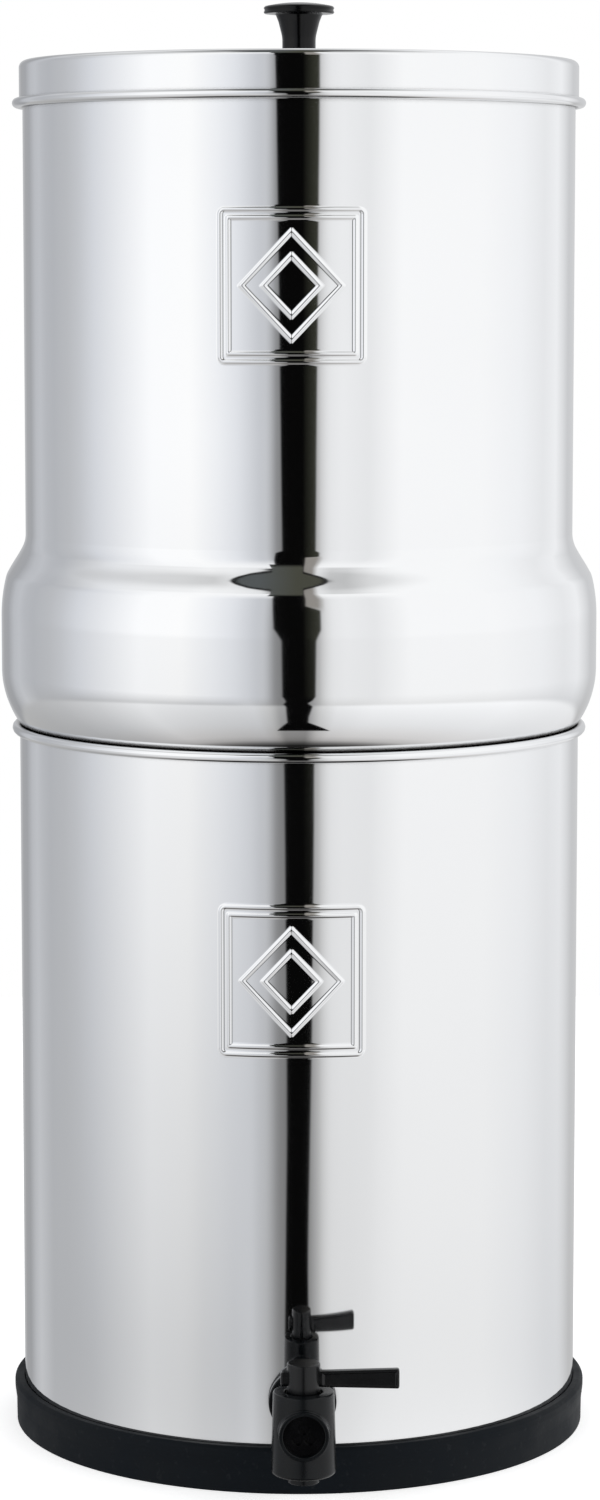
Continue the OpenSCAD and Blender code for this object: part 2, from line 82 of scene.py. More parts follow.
def colour(name, description, value):
    """A linear colour."""
    return FloatVectorProperty(name=name, description=description, default=value,
                               min=0.0, max=1.0, size=3, subtype="COLOR")


class FilterSheetSizes(PropertyGroup):
    """What the two chambers and the lid share."""

    sheet: length("Sheet", "Thickness of the steel sheet", 0.8)
    bite: length("Bead overlap", "How far a rolled bead stands past its wall's face", 0.03)
    bead_end: angle("Bead end", "Angle from level at which a rolled bead's edge ends", 112)
    round_step: angle("Column step", "Widest step between two columns of a vessel", 4)
    fine_step: length("Fine step", "Step of the mesh across an embossed square", 0.37)


class FilterSquareSizes(PropertyGroup):
    """The embossed square on the front of each chamber."""

    width: length("Width", "Width of a square", 50.8)
    height: length("Height", "Height of a square", 53.5)
    relief: length("Relief", "Height of the raised lines", 0.5)
    line: length("Line", "Width of the raised lines", 1.3)
    gap: length("Gap", "Bare strip between the lines of the border", 1.5)
    corner: length("Corner", "Radius of the border's corners", 2.4)
    crest: share("Crest", "Share of a line's width that is flat on top", 0.3)
    foot: length("Foot", "How far the sheet is drawn up beside a line", 0.35)
    large_diamond: share("Large diamond", "Size of the outer diamond in the border", 0.86)
    small_diamond: share("Small diamond", "Size of the inner diamond in the border", 0.5)
    turn: angle("Turn", "Angle of the squares round the vessel, from the tap", -2.1)


class FilterLowerSizes(PropertyGroup):
    """Lower chamber and base ring."""

    radius: length("Radius", "Outer radius of the wall", 103.5)
    floor: length("Floor", "Height of the floor's underside", 3)
    rim: length("Rim", "Height of the rim's top", 264)
    bend: length("Bend", "Outer radius of the bend below the wall", 8)
    bead: length("Bead", "Radius of the bead rolled outwards along the rim", 1.8)
    square: length("Square", "Height of the middle of the square", 183.5)
    ring_height: length("Ring height", "Height of the base ring", 16.7)
    ring_wall: length("Ring wall", "Thickness of the ring's upright wall", 3.7)
    ring_ledge: length("Ring ledge", "Thickness of the ring's ledge", 3)
    ledge_width: length("Ledge width", "Width of the ring's ledge", 17)
    ring_gap: length("Ring gap", "Gap between the chamber and the ring", 0.05)


class FilterUpperSizes(PropertyGroup):
    """Upper chamber."""

    radius: length("Radius", "Outer radius of the straight wall", 100.9)
    spigot: length("Spigot", "Outer radius of the part inside the lower rim", 101.9)
    shoulder: length("Shoulder", "Radius of the shoulder", 110)
    floor: length("Floor", "Height of the floor's underside", 252.4)
    bend: length("Bend", "Outer radius of the bend at the floor", 4)
    seat: length("Seat", "Radius of the arc that rests on the lower rim", 34.5)
    seat_height: length("Seat height", "Height where the seat's arc turns upright", 284.321)
    band: length("Band", "Height of the upright band", 19.3)
    crown: length("Crown", "Radius of the broad arc above the band", 60)
    crown_turn: angle("Crown turn", "Angle that the broad arc turns through", 13.5)
    knuckle: length("Knuckle", "Radius of the tight bend below the slope", 8)
    slope: angle("Slope", "Angle of the shoulder's slope, from upright", 31)
    sway: length("Sway", "How far the slope sways from a straight line", 0.039)
    hollow: length("Hollow", "Radius of the hollow between shoulder and wall", 12)
    rim: length("Rim", "Height of the rim's top", 504.76)
    hem: length("Hem", "Radius of the hem rolled inwards along the rim", 1.5)
    hem_end: angle("Hem end", "Angle from level at which the hem's edge ends", 292)
    square: length("Square", "Height of the middle of the square", 425.26)


class FilterLidSizes(PropertyGroup):
    """Lid and knob."""

    radius: length("Radius", "Outer radius of the skirt", 102.1)
    plate: length("Plate", "Height of the lid's outer plate", 505.71)
    under: length("Underside", "Height of the underside of the outer plate", 504.91)
    bend: length("Bend", "Outer radius of the bend between plate and skirt", 2.5)
    bead: length("Bead", "Radius of the bead rolled outwards along the skirt", 1.7)
    bead_height: length("Bead height", "Height of the middle of the bead", 490.51)
    plateau: length("Plateau", "Radius of the raised middle", 82)
    step: length("Step", "Width of the slope round the raised middle", 5)
    rise: length("Rise", "Height of the raised middle above the outer plate", 0.8)
    hole: length("Hole", "Radius of the hole under the knob", 2.3)
    knob_height: length("Knob height", "Height of the knob", 20.5)
    knob_head: length("Knob head", "Radius of the knob's head", 12.9)
    knob_neck: length("Knob neck", "Radius of the knob's waist", 6.1)
    knob_foot: length("Knob foot", "Radius of the knob's foot", 8)
    knob_rim: length("Knob rim", "Height of the head's edge", 2.8)
    knob_dome: length("Knob dome", "Height of the dome above the head's edge", 1.4)


class FilterTapSizes(PropertyGroup):
    """Tap body and lever."""

    reach: length("Reach", "Distance from the vessels' axis to the tap's upright axis", 140.3)
    height: length("Height", "Height of the inlet's axis", 34)
    barrel: length("Barrel", "Radius of the barrel at its foot", 11.4)
    barrel_top: length("Barrel top", "Radius of the barrel at its top", 10.6)
    barrel_up: length("Barrel up", "Height of the barrel above the inlet's axis", 13)
    barrel_down: length("Barrel down", "Depth of the barrel below the inlet's axis", 15.9)
    nozzle: length("Nozzle", "Radius of the nozzle", 5.45)
    nozzle_long: length("Nozzle length", "Length of the nozzle", 3.2)
    waterway: length("Waterway", "Radius of the waterway", 4)
    bore: length("Bore", "Radius of the valve bore", 6.7)
    bore_floor: length("Bore floor", "Depth of the valve bore's floor below the inlet's axis", 8.5)
    groove: length("Clip groove", "Radius of the groove for the valve's clip", 7.4)
    groove_low: length("Groove foot", "Height of the groove's foot above the inlet's axis", 10.2)
    groove_high: length("Groove top", "Height of the groove's top above the inlet's axis", 11.3)
    neck: length("Neck", "Radius of the neck", 8.5)
    neck_start: length("Neck start", "Distance from the tap's axis to the neck's plain part", 16)
    flange: length("Flange", "Radius of the flange", 12)
    flange_near: length("Flange face", "Distance from the tap's axis to the flange's face", 31.3)
    flange_thick: length("Flange thickness", "Thickness of the flange", 3)
    shank: length("Shank", "Radius of the shank", 8)
    shank_end: length("Shank end", "Distance from the tap's axis to the shank's end", 51.1)
    boss: length("Boss", "Radius of the round boss on the front", 8.7)
    boss_out: length("Boss face", "Distance from the tap's axis to the boss's face", 12)
    recess: length("Recess", "Radius of the recess in the boss", 7.25)
    recess_back: length("Recess back", "Distance from the tap's axis to the recess's back", 8.3)
    fillet: length("Fillet", "Radius of the fillet where neck and boss join the barrel", 0.5)
    hub: length("Hub", "Radius of the lever's hub", 5.8)
    hub_foot: length("Hub foot", "Height of the hub's foot above the inlet's axis", 10.05)
    hub_top: length("Hub top", "Height of the hub's top above the inlet's axis", 23)
    drive: length("Drive", "Width of the square drive under the hub", 5)
    drive_deep: length("Drive depth", "Depth of the square drive under the hub", 3.5)
    lever_height: length("Lever height", "Height of the lever's middle above the inlet", 17.5)
    lever_long: length("Lever length", "Length of the lever from the tap's axis", 33)
    lever_tail: length("Lever tail", "Length of the lever behind the tap's axis", 8)
    lever_deep: length("Lever depth", "Upright size of the lever at its tail", 4.9)
    lever_end: length("Lever end", "Upright size of the lever at its end", 7)
    lever_thick: length("Lever thickness", "Thickness of the lever", 4)
    lever_rim: length("Lever rim", "Width of the rim round the lever's side panel", 1)
    lever_panel: length("Lever panel", "Depth of the lever's side panel", 0.5)
    lever_corner: length("Lever corner", "Radius of the lever's edges", 0.7)
    panel_edge: length("Panel edge", "Width of the slope round the side panel", 0.6)


class FilterFinishes(PropertyGroup):
    """Colours of the materials."""

    steel: colour("Steel", "Polished steel", (0.875, 0.88, 0.885))
    steel_dull: colour("Steel, dull", "Steel where it is a little less bright", (0.85, 0.856, 0.864))
    # Painted shade: the dark colour that the steel turns in grooves and creases, where ambient
    # occlusion finds other surfaces close by.
    steel_painted_shade: colour("Steel in grooves", "Dirty steel deep in a groove", (0.17, 0.165, 0.16))
    ring: colour("Ring rubber", "Rubber of the base ring", (0.0012, 0.0034, 0.006))
    ring_worn: colour("Ring rubber, rubbed", "Paler patches of that rubber", (0.0035, 0.0064, 0.01))
    ring_speck: colour("Dust", "Specks of dust on that rubber", (0.03, 0.032, 0.036))
    seal: colour("Seal rubber", "Rubber of the washers and seals", (0.012, 0.012, 0.013))
    tap: colour("Tap plastic", "Satin plastic of the tap's body", (0.0022, 0.003, 0.0038))
    knob: colour("Knob plastic", "Glossy plastic of the knob and plug", (0.0012, 0.0012, 0.0016))
    lever: colour("Lever plastic", "Satin plastic of the lever", (0.0026, 0.0028, 0.0033))
    white: colour("White plastic", "Plastic of the cups, plug and wing nuts", (0.78, 0.79, 0.8))
    ceramic: colour("Ceramic", "Porous ceramic of the candles", (0.82, 0.79, 0.72))
    ceramic_dark: colour("Ceramic, damp", "Damp clouds in the ceramic", (0.68, 0.64, 0.56))
    ceramic_pore: colour("Ceramic pores", "Dark pores of the ceramic", (0.45, 0.41, 0.34))


class FilterStageLook(PropertyGroup):
    """Camera, floor and the white tent round the object."""

    distance: length("Distance", "Level distance from the vessels' axis to the camera", 1535.3)
    height: length("Height", "Height of the camera", 436.3)
    pitch: angle("Pitch", "How far the camera looks down", 6.82)
    side: angle("Side", "Angle of the camera round the vessels, from the tap", -0.65)
    aim: angle("Aim", "How far right of the vessels' axis the camera looks", 0.0138)
    lens: FloatProperty(name="Lens", description="Focal length in millimetres",
                        default=99.7, min=10.0, unit="CAMERA")
    floor_radius: length("Floor radius", "Radius of the pale floor", 900)
    floor_colour: colour("Floor colour", "Colour of the floor", (0.85, 0.85, 0.85))
    floor_glow: share("Floor glow", "White added to the floor for the camera", 0.6)
    tent_strength: FloatProperty(name="Tent strength", description="Brightness of the tent",
                                 default=1.155, min=0.0)
    roof: colour("Roof", "Colour of the tent's roof", (0.93, 0.934, 0.938))
    patch: colour("Patch", "Dim patch beside the slit, high up", (0.27, 0.255, 0.235))
    slit: colour("Slit", "Dark behind the tent's slit", (0.002, 0.002, 0.002))
    slit_pale: colour("Slit, pale side", "Right side of the slit, above", (0.03, 0.031, 0.023))
    slit_soft: angle("Slit softness", "Width of the soft edges of the tent's slit", 0.9)
    opening_rim: colour("Opening's rim", "Rim of the opening in the roof", (0.004, 0.004, 0.004))
    opening_left: colour("Opening, left", "Left of the opening", (0.085, 0.093, 0.095))
    opening_right: colour("Opening, right", "Right of the opening", (0.062, 0.063, 0.049))


# Shapes

def arc(centre, radius, start, end, step):
    """Points of an arc: the centre plus the radius times (cos, sin) of evenly spaced angles,
    given in degrees and at most one step apart."""
    count = max(2, math.ceil(abs(end - start) / step) + 1)
    turn = np.radians(np.linspace(start, end, count))
    return np.asarray(centre) + radius * np.stack([np.cos(turn), np.sin(turn)], axis=1)


def straight(start, end, count):
    """Evenly spaced points of the line between two points."""
    return np.linspace(start, end, count)


def unit(vectors):
    """Each vector divided by its length."""
    size = np.linalg.norm(vectors, axis=-1, keepdims=True)
    return vectors / np.maximum(size, 1e-12)


def rounded(corners, steps=6):
    """A closed outline whose corners (x, y, radius) are rounded: each corner gives way to the
    arc that touches both of its sides, whose middle lies on the line that halves the corner,
    at the radius over the sine of half the corner's angle."""
    corners = np.asarray(corners, float)
    place, radius = corners[:, :2], corners[:, 2]
    back = unit(np.roll(place, 1, axis=0) - place)
    ahead = unit(np.roll(place, -1, axis=0) - place)
    half = np.arccos(np.clip((back * ahead).sum(axis=1), -1, 1)) / 2
    middle = place + unit(back + ahead) * (radius / np.sin(half))[:, None]
    start = place + back * (radius / np.tan(half))[:, None] - middle
    end = place + ahead * (radius / np.tan(half))[:, None] - middle
    first = np.arctan2(start[:, 1], start[:, 0])
    turn = (np.arctan2(end[:, 1], end[:, 0]) - first + math.pi) % (2 * math.pi) - math.pi
    angles = first[:, None] + turn[:, None] * np.linspace(0, 1, steps)
    ring = np.stack([np.cos(angles), np.sin(angles)], axis=-1) * radius[:, None, None]
    return (middle[:, None, :] + ring).reshape(-1, 2)


def without_doubles(outline):
    """The outline without points that repeat the one before."""
    step = np.linalg.norm(np.diff(outline, axis=0), axis=1)
    return outline[np.concatenate([[True], step > 1e-6])]


def even_columns(count):
    """Evenly spaced angles right round."""
    return np.arange(count) * 2 * math.pi / count


def crowded_columns(middle, half, fine, coarse, spread=math.radians(32)):
    """Angles right round that crowd about a middle angle. The step between two of them is the
    fine one out to half each side, and then grows smoothly to the coarse one over the spread.
    The angles are where the running sum of one over the step takes evenly spaced values,
    about one apart."""
    around = np.linspace(-math.pi, math.pi, 24001)
    away = np.clip((np.abs(around) - half) / spread, 0, 1)
    step = fine + (coarse - fine) * away ** 2 * (3 - 2 * away)
    total = np.concatenate([[0], np.cumsum((1 / step[1:] + 1 / step[:-1]) / 2 * np.diff(around))])
    count = round(total[-1])
    return middle + np.interp(np.arange(count) * total[-1] / count, total, around)


def outline_normals(outline, loop):
    """Directions square to an outline: at each point the sum of the normals of the two sides,
    each weighted by its length, so that long flat sides stay flat."""
    if loop:
        both = np.roll(outline, -1, axis=0) - np.roll(outline, 1, axis=0)
    else:
        side = np.diff(outline, axis=0)
        both = np.concatenate([side[:1], side[1:] + side[:-1], side[-1:]])
    return unit(np.stack([both[:, 1], -both[:, 0]], axis=1))


def revolved(outline, angles, loop=False):
    """A surface of revolution: the outline's point (r, z) at angle a goes to
    (r sin a, -r cos a, z), and its normal turns in the same way."""
    outline = without_doubles(outline)
    normal = outline_normals(outline, loop)
    sine, cosine = np.sin(angles), np.cos(angles)

    def turned(pairs):
        return np.stack([pairs[:, :1] * sine, -pairs[:, :1] * cosine,
                         np.broadcast_to(pairs[:, 1:], (len(pairs), len(angles)))], axis=-1)

    return turned(outline), turned(normal)


def grid_faces(rows, columns, loop):
    """Corner numbers of the faces of a grid that closes round its columns, and round its rows
    too if it is a loop."""
    number = np.arange(rows * columns).reshape(rows, columns)
    beside = np.roll(number, -1, axis=1)
    if loop:
        return np.stack([number, beside, np.roll(beside, -1, axis=0),
                         np.roll(number, -1, axis=0)], axis=-1).reshape(-1, 4)
    return np.stack([number[:-1], beside[:-1], beside[1:], number[1:]], axis=-1).reshape(-1, 4)


def closed_grid(points, normals, loop):
    """Vertices, normals, four-sided and three-sided faces of a grid. A first or last row that
    has shrunk to one point becomes a single vertex with a fan of triangles round it."""
    columns = points.shape[1]
    poles = [not loop and np.ptp(points[row], axis=0).max() < 1e-7 for row in (0, -1)]
    body = slice(1 if poles[0] else 0, -1 if poles[1] else None)
    places, turns = points[body].reshape(-1, 3), normals[body].reshape(-1, 3)
    rows = len(places) // columns
    quads = grid_faces(rows, columns, loop)
    fans = []
    for pole, row, base in ((poles[0], 0, 0), (poles[1], -1, (rows - 1) * columns)):
        if pole:
            rim = base + np.arange(columns)
            beside = base + (np.arange(columns) + 1) % columns
            tip = np.full(columns, len(places))
            fans.append(np.stack([tip, beside, rim] if row == 0 else [tip, rim, beside], axis=1))
            places = np.concatenate([places, points[row, :1]])
            turns = np.concatenate([turns, unit(normals[row].mean(axis=0))[None]])
    fans = np.concatenate(fans) if fans else np.zeros((0, 3), int)
    return places, turns, quads, fans


def signed_volume(places, quads, fans):
    """Volume inside a closed mesh: a sixth of the sum of the triple products of its
    triangles. It is negative where the faces look inwards."""
    threes = np.concatenate([quads[:, :3], quads[:, [0, 2, 3]], fans])
    a, b, c = (places[threes[:, i]] for i in range(3))
    return np.einsum("ij,ij->", a, np.cross(b, c)) / 6


def outward_shell(points, normals, loop):
    """Vertices, normals and faces of a closed grid. The faces are turned to look outwards by
    the sign of the volume, and each normal to the side of the sum of its faces' normals."""
    places, turns, quads, fans = closed_grid(points, normals, loop)
    if signed_volume(places, quads, fans) < 0:
        quads, fans = quads[:, ::-1], fans[:, ::-1]
    summed = np.zeros_like(places)
    for faces in (quads, fans):
        a, b, c = (places[faces[:, i]] for i in range(3))
        for corner in faces.T:
            np.add.at(summed, corner, np.cross(b - a, c - a))
    side = np.where((summed * turns).sum(axis=1, keepdims=True) < 0, -1.0, 1.0)
    return places, turns * side, quads, fans


def smooth_mesh(name, places, turns, quads, fans):
    """A smooth mesh with normals of its own."""
    mesh = bpy.data.meshes.new(name)
    mesh.vertices.add(len(places))
    mesh.vertices.foreach_set("co", places.astype(np.float32).ravel())
    corners = np.concatenate([quads.ravel(), fans.ravel()]).astype(np.int32)
    mesh.loops.add(len(corners))
    mesh.loops.foreach_set("vertex_index", corners)
    starts = np.concatenate([np.arange(len(quads)) * 4, quads.size + np.arange(len(fans)) * 3])
    mesh.polygons.add(len(starts))
    mesh.polygons.foreach_set("loop_start", starts.astype(np.int32))
    mesh.update(calc_edges=True)
    if mesh.validate():
        raise RuntimeError(f"the mesh of {name} had faulty faces")
    mesh.polygons.foreach_set("use_smooth", np.ones(len(starts), bool))
    mesh.normals_split_custom_set_from_vertices(turns.tolist())
    return mesh


def make_piece(name, shells, slot, body, nodes, look=None):
    """One object from one or more closed grids (points, normals, loop), with the finish of
    its slot or a look of its own."""
    shells = [outward_shell(*shell) for shell in shells]
    firsts = np.cumsum([0] + [len(shell[0]) for shell in shells[:-1]])
    places, turns = (np.concatenate([shell[i] for shell in shells]) for i in (0, 1))
    quads, fans = (np.concatenate([shell[i] + first for shell, first in zip(shells, firsts)])
                   for i in (2, 3))
    mesh = smooth_mesh(name, places, turns, quads, fans)
    mesh.materials.append(finish(look or slot))
    piece = bpy.data.objects.new(name, mesh)
    bpy.context.scene.collection.objects.link(piece)
    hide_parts(*nodes)
    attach(piece, body)


def moved(points, shift):
    """Points moved by one vector."""
    return points + np.asarray(shift)


def square_relief(across, up, size):
    """Height of the embossed square at places given in its own plane. A line's height is a
    smooth step of the distance from the line's middle: full on its crest, and nothing past
    its foot. Two rounded rectangles make the border and two diamonds fill it. The distance
    from a rounded rectangle is that from its inner box less the corner radius, and from a
    diamond its two-axis sum less one, over the length of that sum's gradient."""
    def ridge(distance):
        crest = size.crest * size.line / 2
        past = np.clip((np.abs(distance) - crest) / (size.line / 2 + size.foot - crest), 0, 1)
        return 1 - past ** 2 * (3 - 2 * past)

    def rectangle(inset):
        corner = max(size.corner - inset, size.line / 2)
        x = np.abs(across) - (size.width / 2 - inset - corner)
        y = np.abs(up) - (size.height / 2 - inset - corner)
        outside = np.hypot(np.maximum(x, 0), np.maximum(y, 0))
        return outside + np.minimum(np.maximum(x, y), 0) - corner

    def diamond(part):
        x = part * (size.width / 2 - 2 * size.line - size.gap)
        y = part * (size.height / 2 - 2 * size.line - size.gap)
        return (np.abs(across) / x + np.abs(up) / y - 1) / math.hypot(1 / x, 1 / y)

    half = size.line / 2
    lines = [rectangle(0) + half, rectangle(size.line + size.gap) + half,
             diamond(size.large_diamond) + half, diamond(size.small_diamond) + half]
    return size.relief * np.maximum.reduce([ridge(line) for line in lines])


def pressed_square(points, normals, angles, radius, middle, size):
    """Presses the square outwards into a wall. The wall's points move out by the relief at
    (radius times the sine of the angle from the square's middle, height above its middle),
    and the normals lean back by the relief's slopes, taken between neighbouring points."""
    places, turns = points.copy(), normals.copy()
    height = places[:, 0, 2]
    outer = np.hypot(places[:, 0, 0], places[:, 0, 1]) > radius - 1e-5
    near = outer & (np.abs(height - middle) < size.height)
    rows = np.flatnonzero(near)
    away = angles - size.turn
    across = radius * np.sin(away)
    front = np.cos(away) > 0
    relief = square_relief(across[None], (height[rows] - middle)[:, None], size) * front
    along = np.gradient(relief, radius * away, axis=1)
    up = np.gradient(relief, height[rows], axis=0)
    outwards = np.stack([np.sin(angles), -np.cos(angles), 0 * angles], axis=-1)
    sideways = np.stack([np.cos(angles), np.sin(angles), 0 * angles], axis=-1)
    places[rows] += relief[..., None] * outwards
    facing = np.sign((turns[rows] * outwards).sum(axis=-1, keepdims=True))
    lean = outwards - along[..., None] * sideways - up[..., None] * np.array([0, 0, 1.0])
    turns[rows] = unit(lean) * np.where(facing == 0, 1, facing)
    return places, turns


def wall_rows(radius, low, high, middle, size, fine):
    """Points of a straight wall's outline, close together where the square is pressed."""
    reach = size.height / 2 + size.line
    heights = np.concatenate([
        np.linspace(low, middle - reach - fine, 8),
        np.linspace(middle - reach, middle + reach, math.ceil(2 * reach / fine)),
        np.linspace(middle + reach + fine, high, 6)])
    return np.stack([np.full(len(heights), radius), heights], axis=1)


def vessel_columns(radius, sheets, size):
    """Column angles of a vessel, crowded where its square is."""
    half = math.asin((size.width / 2 + size.line) / radius)
    return crowded_columns(size.turn, half, sheets.fine_step / radius, sheets.round_step)


# Materials

class Desk:
    """Short calls for the nodes of one tree."""

    def __init__(self, tree):
        self.tree = tree

    def plug(self, socket, value):
        """Links a socket to another one, or gives it a value. A colour is made opaque."""
        if isinstance(value, bpy.types.NodeSocket):
            self.tree.links.new(value, socket)
        elif socket.type == "RGBA":
            socket.default_value = (*tuple(value)[:3], 1.0)
        else:
            socket.default_value = value

    def fill(self, node, inputs):
        """Values or links for a node's inputs."""
        for key, value in inputs.items():
            self.plug(node.inputs[key], value)

    def node(self, kind, inputs=None, **settings):
        """A new node with its settings and inputs."""
        made = self.tree.nodes.new(kind)
        for key, value in settings.items():
            setattr(made, key, value)
        self.fill(made, inputs or {})
        return made

    def maths(self, operation, first, second=0.0, third=0.0):
        """One arithmetic step."""
        return self.node("ShaderNodeMath", {0: first, 1: second, 2: third},
                         operation=operation).outputs[0]

    def spread(self, value, low, high, to_low=0.0, to_high=1.0, kind="LINEAR"):
        """A value carried from one range into another, held at its ends."""
        return self.node("ShaderNodeMapRange", {
            "Value": value, "From Min": low, "From Max": high, "To Min": to_low,
            "To Max": to_high}, interpolation_type=kind).outputs["Result"]

    def noise(self, vector, scale, detail=3.0, rough=0.5):
        """Cloudy noise whose patches are about one over the scale across, in metres."""
        return self.node("ShaderNodeTexNoise", {
            "Vector": vector, "Scale": scale, "Detail": detail, "Roughness": rough}).outputs["Fac"]

    def stretched(self, vector, scale):
        """Coordinates scaled along each axis."""
        return self.node("ShaderNodeMapping", {"Vector": vector, "Scale": scale}).outputs["Vector"]

    def blend(self, part, first, second):
        """A colour between two."""
        return self.node("ShaderNodeMix", {0: part, 6: first, 7: second},
                         data_type="RGBA").outputs[2]

    def bump(self, height, distance, strength=1.0, normal=None):
        """Raises the surface by a height times a distance in metres."""
        under = {} if normal is None else {"Normal": normal}
        return self.node("ShaderNodeBump", {
            "Height": height, "Distance": distance, "Strength": strength, **under,
        }).outputs["Normal"]

    def ramp(self, bearing, span, stops):
        """A colour read off a row of stops (degrees, colour) by an angle in degrees that runs
        over the span, half of it each side of nought."""
        place = self.maths("MULTIPLY_ADD", bearing, 1 / span, 0.5)
        made = self.node("ShaderNodeValToRGB", {"Fac": place})
        row = made.color_ramp.elements
        for degrees, _ in stops[1:-1]:
            row.new(degrees / span + 0.5)
        for element, (degrees, tint) in zip(row, stops):
            element.position = degrees / span + 0.5
            element.color = (*tint, 1.0)
        return made.outputs["Color"]


def new_material(slot):
    """A node material: its desk, its shader and its object coordinates."""
    material = bpy.data.materials.new(f"filter {slot}")
    material.use_nodes = True
    desk = Desk(material.node_tree)
    shader = material.node_tree.nodes["Principled BSDF"]
    place = desk.node("ShaderNodeTexCoord").outputs["Object"]
    return material, desk, shader, place


def polished_steel(finishes):
    """Mirror-polished sheet: slow ripples left by forming, fine rings left by polishing on a
    lathe, a faint haze that comes and goes, and painted shade deep in the grooves, where the
    colour darkens as ambient occlusion finds other surfaces close by."""
    material, desk, shader, place = new_material("polished_steel")
    haze = desk.noise(place, 14, 4)
    rings = desk.noise(desk.stretched(place, (6, 6, 1500)), 1.0, 3, 0.6)
    ripple = desk.noise(desk.stretched(place, (1, 1, 0.55)), 24, 1.5, 0.4)
    normal = desk.bump(ripple, 0.00006)
    normal = desk.bump(rings, 0.0000006, 1.0, normal)
    # Painted shade: the base colour turns dark where ambient occlusion finds other surfaces within 4
    # mm, in grooves and creases.
    groove = desk.node("ShaderNodeAmbientOcclusion", {"Distance": 0.004}, samples=6)
    groove = desk.spread(groove.outputs["AO"], 0.32, 0.6, 1.0, 0.0)
    tint = desk.blend(haze, finishes.steel, finishes.steel_dull)
    desk.fill(shader, {
        "Base Color": desk.blend(groove, tint, finishes.steel_painted_shade),
        "Metallic": 1.0,
        "Roughness": desk.spread(haze, 0.35, 0.7, 0.035, 0.06),
        "Normal": normal,
    })
    return material


def ring_rubber(finishes):
    """Black rubber: paler rubbed clouds, small specks of dust and a fine pebbled skin."""
    material, desk, shader, place = new_material("ring_rubber")
    clouds = desk.spread(desk.noise(place, 38, 5, 0.6), 0.38, 0.68)
    specks = desk.spread(desk.noise(place, 420, 2), 0.62, 0.74)
    skin = desk.noise(place, 1300, 2)
    tint = desk.blend(clouds, finishes.ring, finishes.ring_worn)
    desk.fill(shader, {
        "Base Color": desk.blend(desk.maths("MULTIPLY", specks, 0.25), tint, finishes.ring_speck),
        "Roughness": desk.spread(clouds, 0, 1, 0.5, 0.68),
        "Specular IOR Level": 0.14,
        "Normal": desk.bump(skin, 0.00006, 0.5),
    })
    return material


def moulded_plastic(slot, tint, change, rough, specular, grain, coat=0.0):
    """Moulded plastic or rubber: slow changes of sheen and of tint from moulding, by a factor
    on the tint, and a fine grain."""
    material, desk, shader, place = new_material(slot)
    flow = desk.noise(place, 90, 3)
    skin = desk.noise(place, 2200, 2)
    desk.fill(shader, {
        "Base Color": desk.blend(desk.spread(flow, 0.35, 0.7), tint, [change * c for c in tint]),
        "Roughness": desk.spread(flow, 0.3, 0.7, *rough),
        "Specular IOR Level": specular,
        "Coat Weight": coat,
        "Coat Roughness": 0.06,
        "Normal": desk.bump(skin, grain, 0.6),
    })
    return material


def tap_plastic(finishes):
    """Satin black plastic with a pebbled grain."""
    return moulded_plastic("tap_plastic", finishes.tap, 1.7, (0.2, 0.3), 0.24, 0.00002)


def lever_plastic(finishes):
    """Satin black plastic, smoother than the tap's."""
    return moulded_plastic("lever_plastic", finishes.lever, 1.6, (0.2, 0.28), 0.34, 0.00001)


def knob_plastic(finishes):
    """Glossy black plastic."""
    return moulded_plastic("knob_plastic", finishes.knob, 1.6, (0.13, 0.2), 0.2, 0.000004, 0.1)


def seal_rubber(finishes):
    """Matt black rubber with a fine skin."""
    return moulded_plastic("seal_rubber", finishes.seal, 2, (0.55, 0.75), 0.25, 0.00005)


def white_plastic(finishes):
    """White plastic, hardly darker in patches."""
    return moulded_plastic("white_plastic", finishes.white, 0.93, (0.32, 0.42), 0.45, 0.00001)


def ceramic(finishes):
    """Unglazed ceramic: damp clouds, dark pores and a sandy skin."""
    material, desk, shader, place = new_material("ceramic")
    clouds = desk.spread(desk.noise(place, 26, 4, 0.6), 0.4, 0.75)
    pores = desk.spread(desk.noise(place, 900, 3), 0.3, 0.42)
    tint = desk.blend(clouds, finishes.ceramic, finishes.ceramic_dark)
    desk.fill(shader, {
        "Base Color": desk.blend(desk.maths("MULTIPLY", desk.maths("SUBTRACT", 1.0, pores), 0.35),
                                 tint, finishes.ceramic_pore),
        "Roughness": desk.spread(clouds, 0, 1, 0.82, 0.95),
        "Specular IOR Level": 0.3,
        "Normal": desk.bump(desk.noise(place, 1500, 4, 0.7), 0.0002, 0.5),
    })
    return material


MAKERS = {
    "polished_steel": polished_steel, "ring_rubber": ring_rubber, "seal_rubber": seal_rubber,
    "white_plastic": white_plastic, "ceramic": ceramic, "tap_plastic": tap_plastic,
    "knob_plastic": knob_plastic, "lever_plastic": lever_plastic,
}


def finish(slot):
    """The material for a slot of the record, or the lever's own, made once."""
    made = bpy.data.materials.get(f"filter {slot}")
    return made or MAKERS[slot](bpy.context.scene.filter_finishes)


# Stage

def plain_floor(look):
    """White board that takes the object's shadow. The camera sees it with a little white
    added, so that it runs into the background."""
    material = bpy.data.materials.new("plain floor")
    material.use_nodes = True
    desk = Desk(material.node_tree)
    seen = desk.node("ShaderNodeLightPath").outputs["Is Camera Ray"]
    desk.fill(material.node_tree.nodes["Principled BSDF"], {
        "Base Color": look.floor_colour,
        "Roughness": 0.9,
        "Specular IOR Level": 0.0,
        "Emission Color": (1, 1, 1),
        "Emission Strength": desk.maths("MULTIPLY", seen, look.floor_glow),
    })
    return material


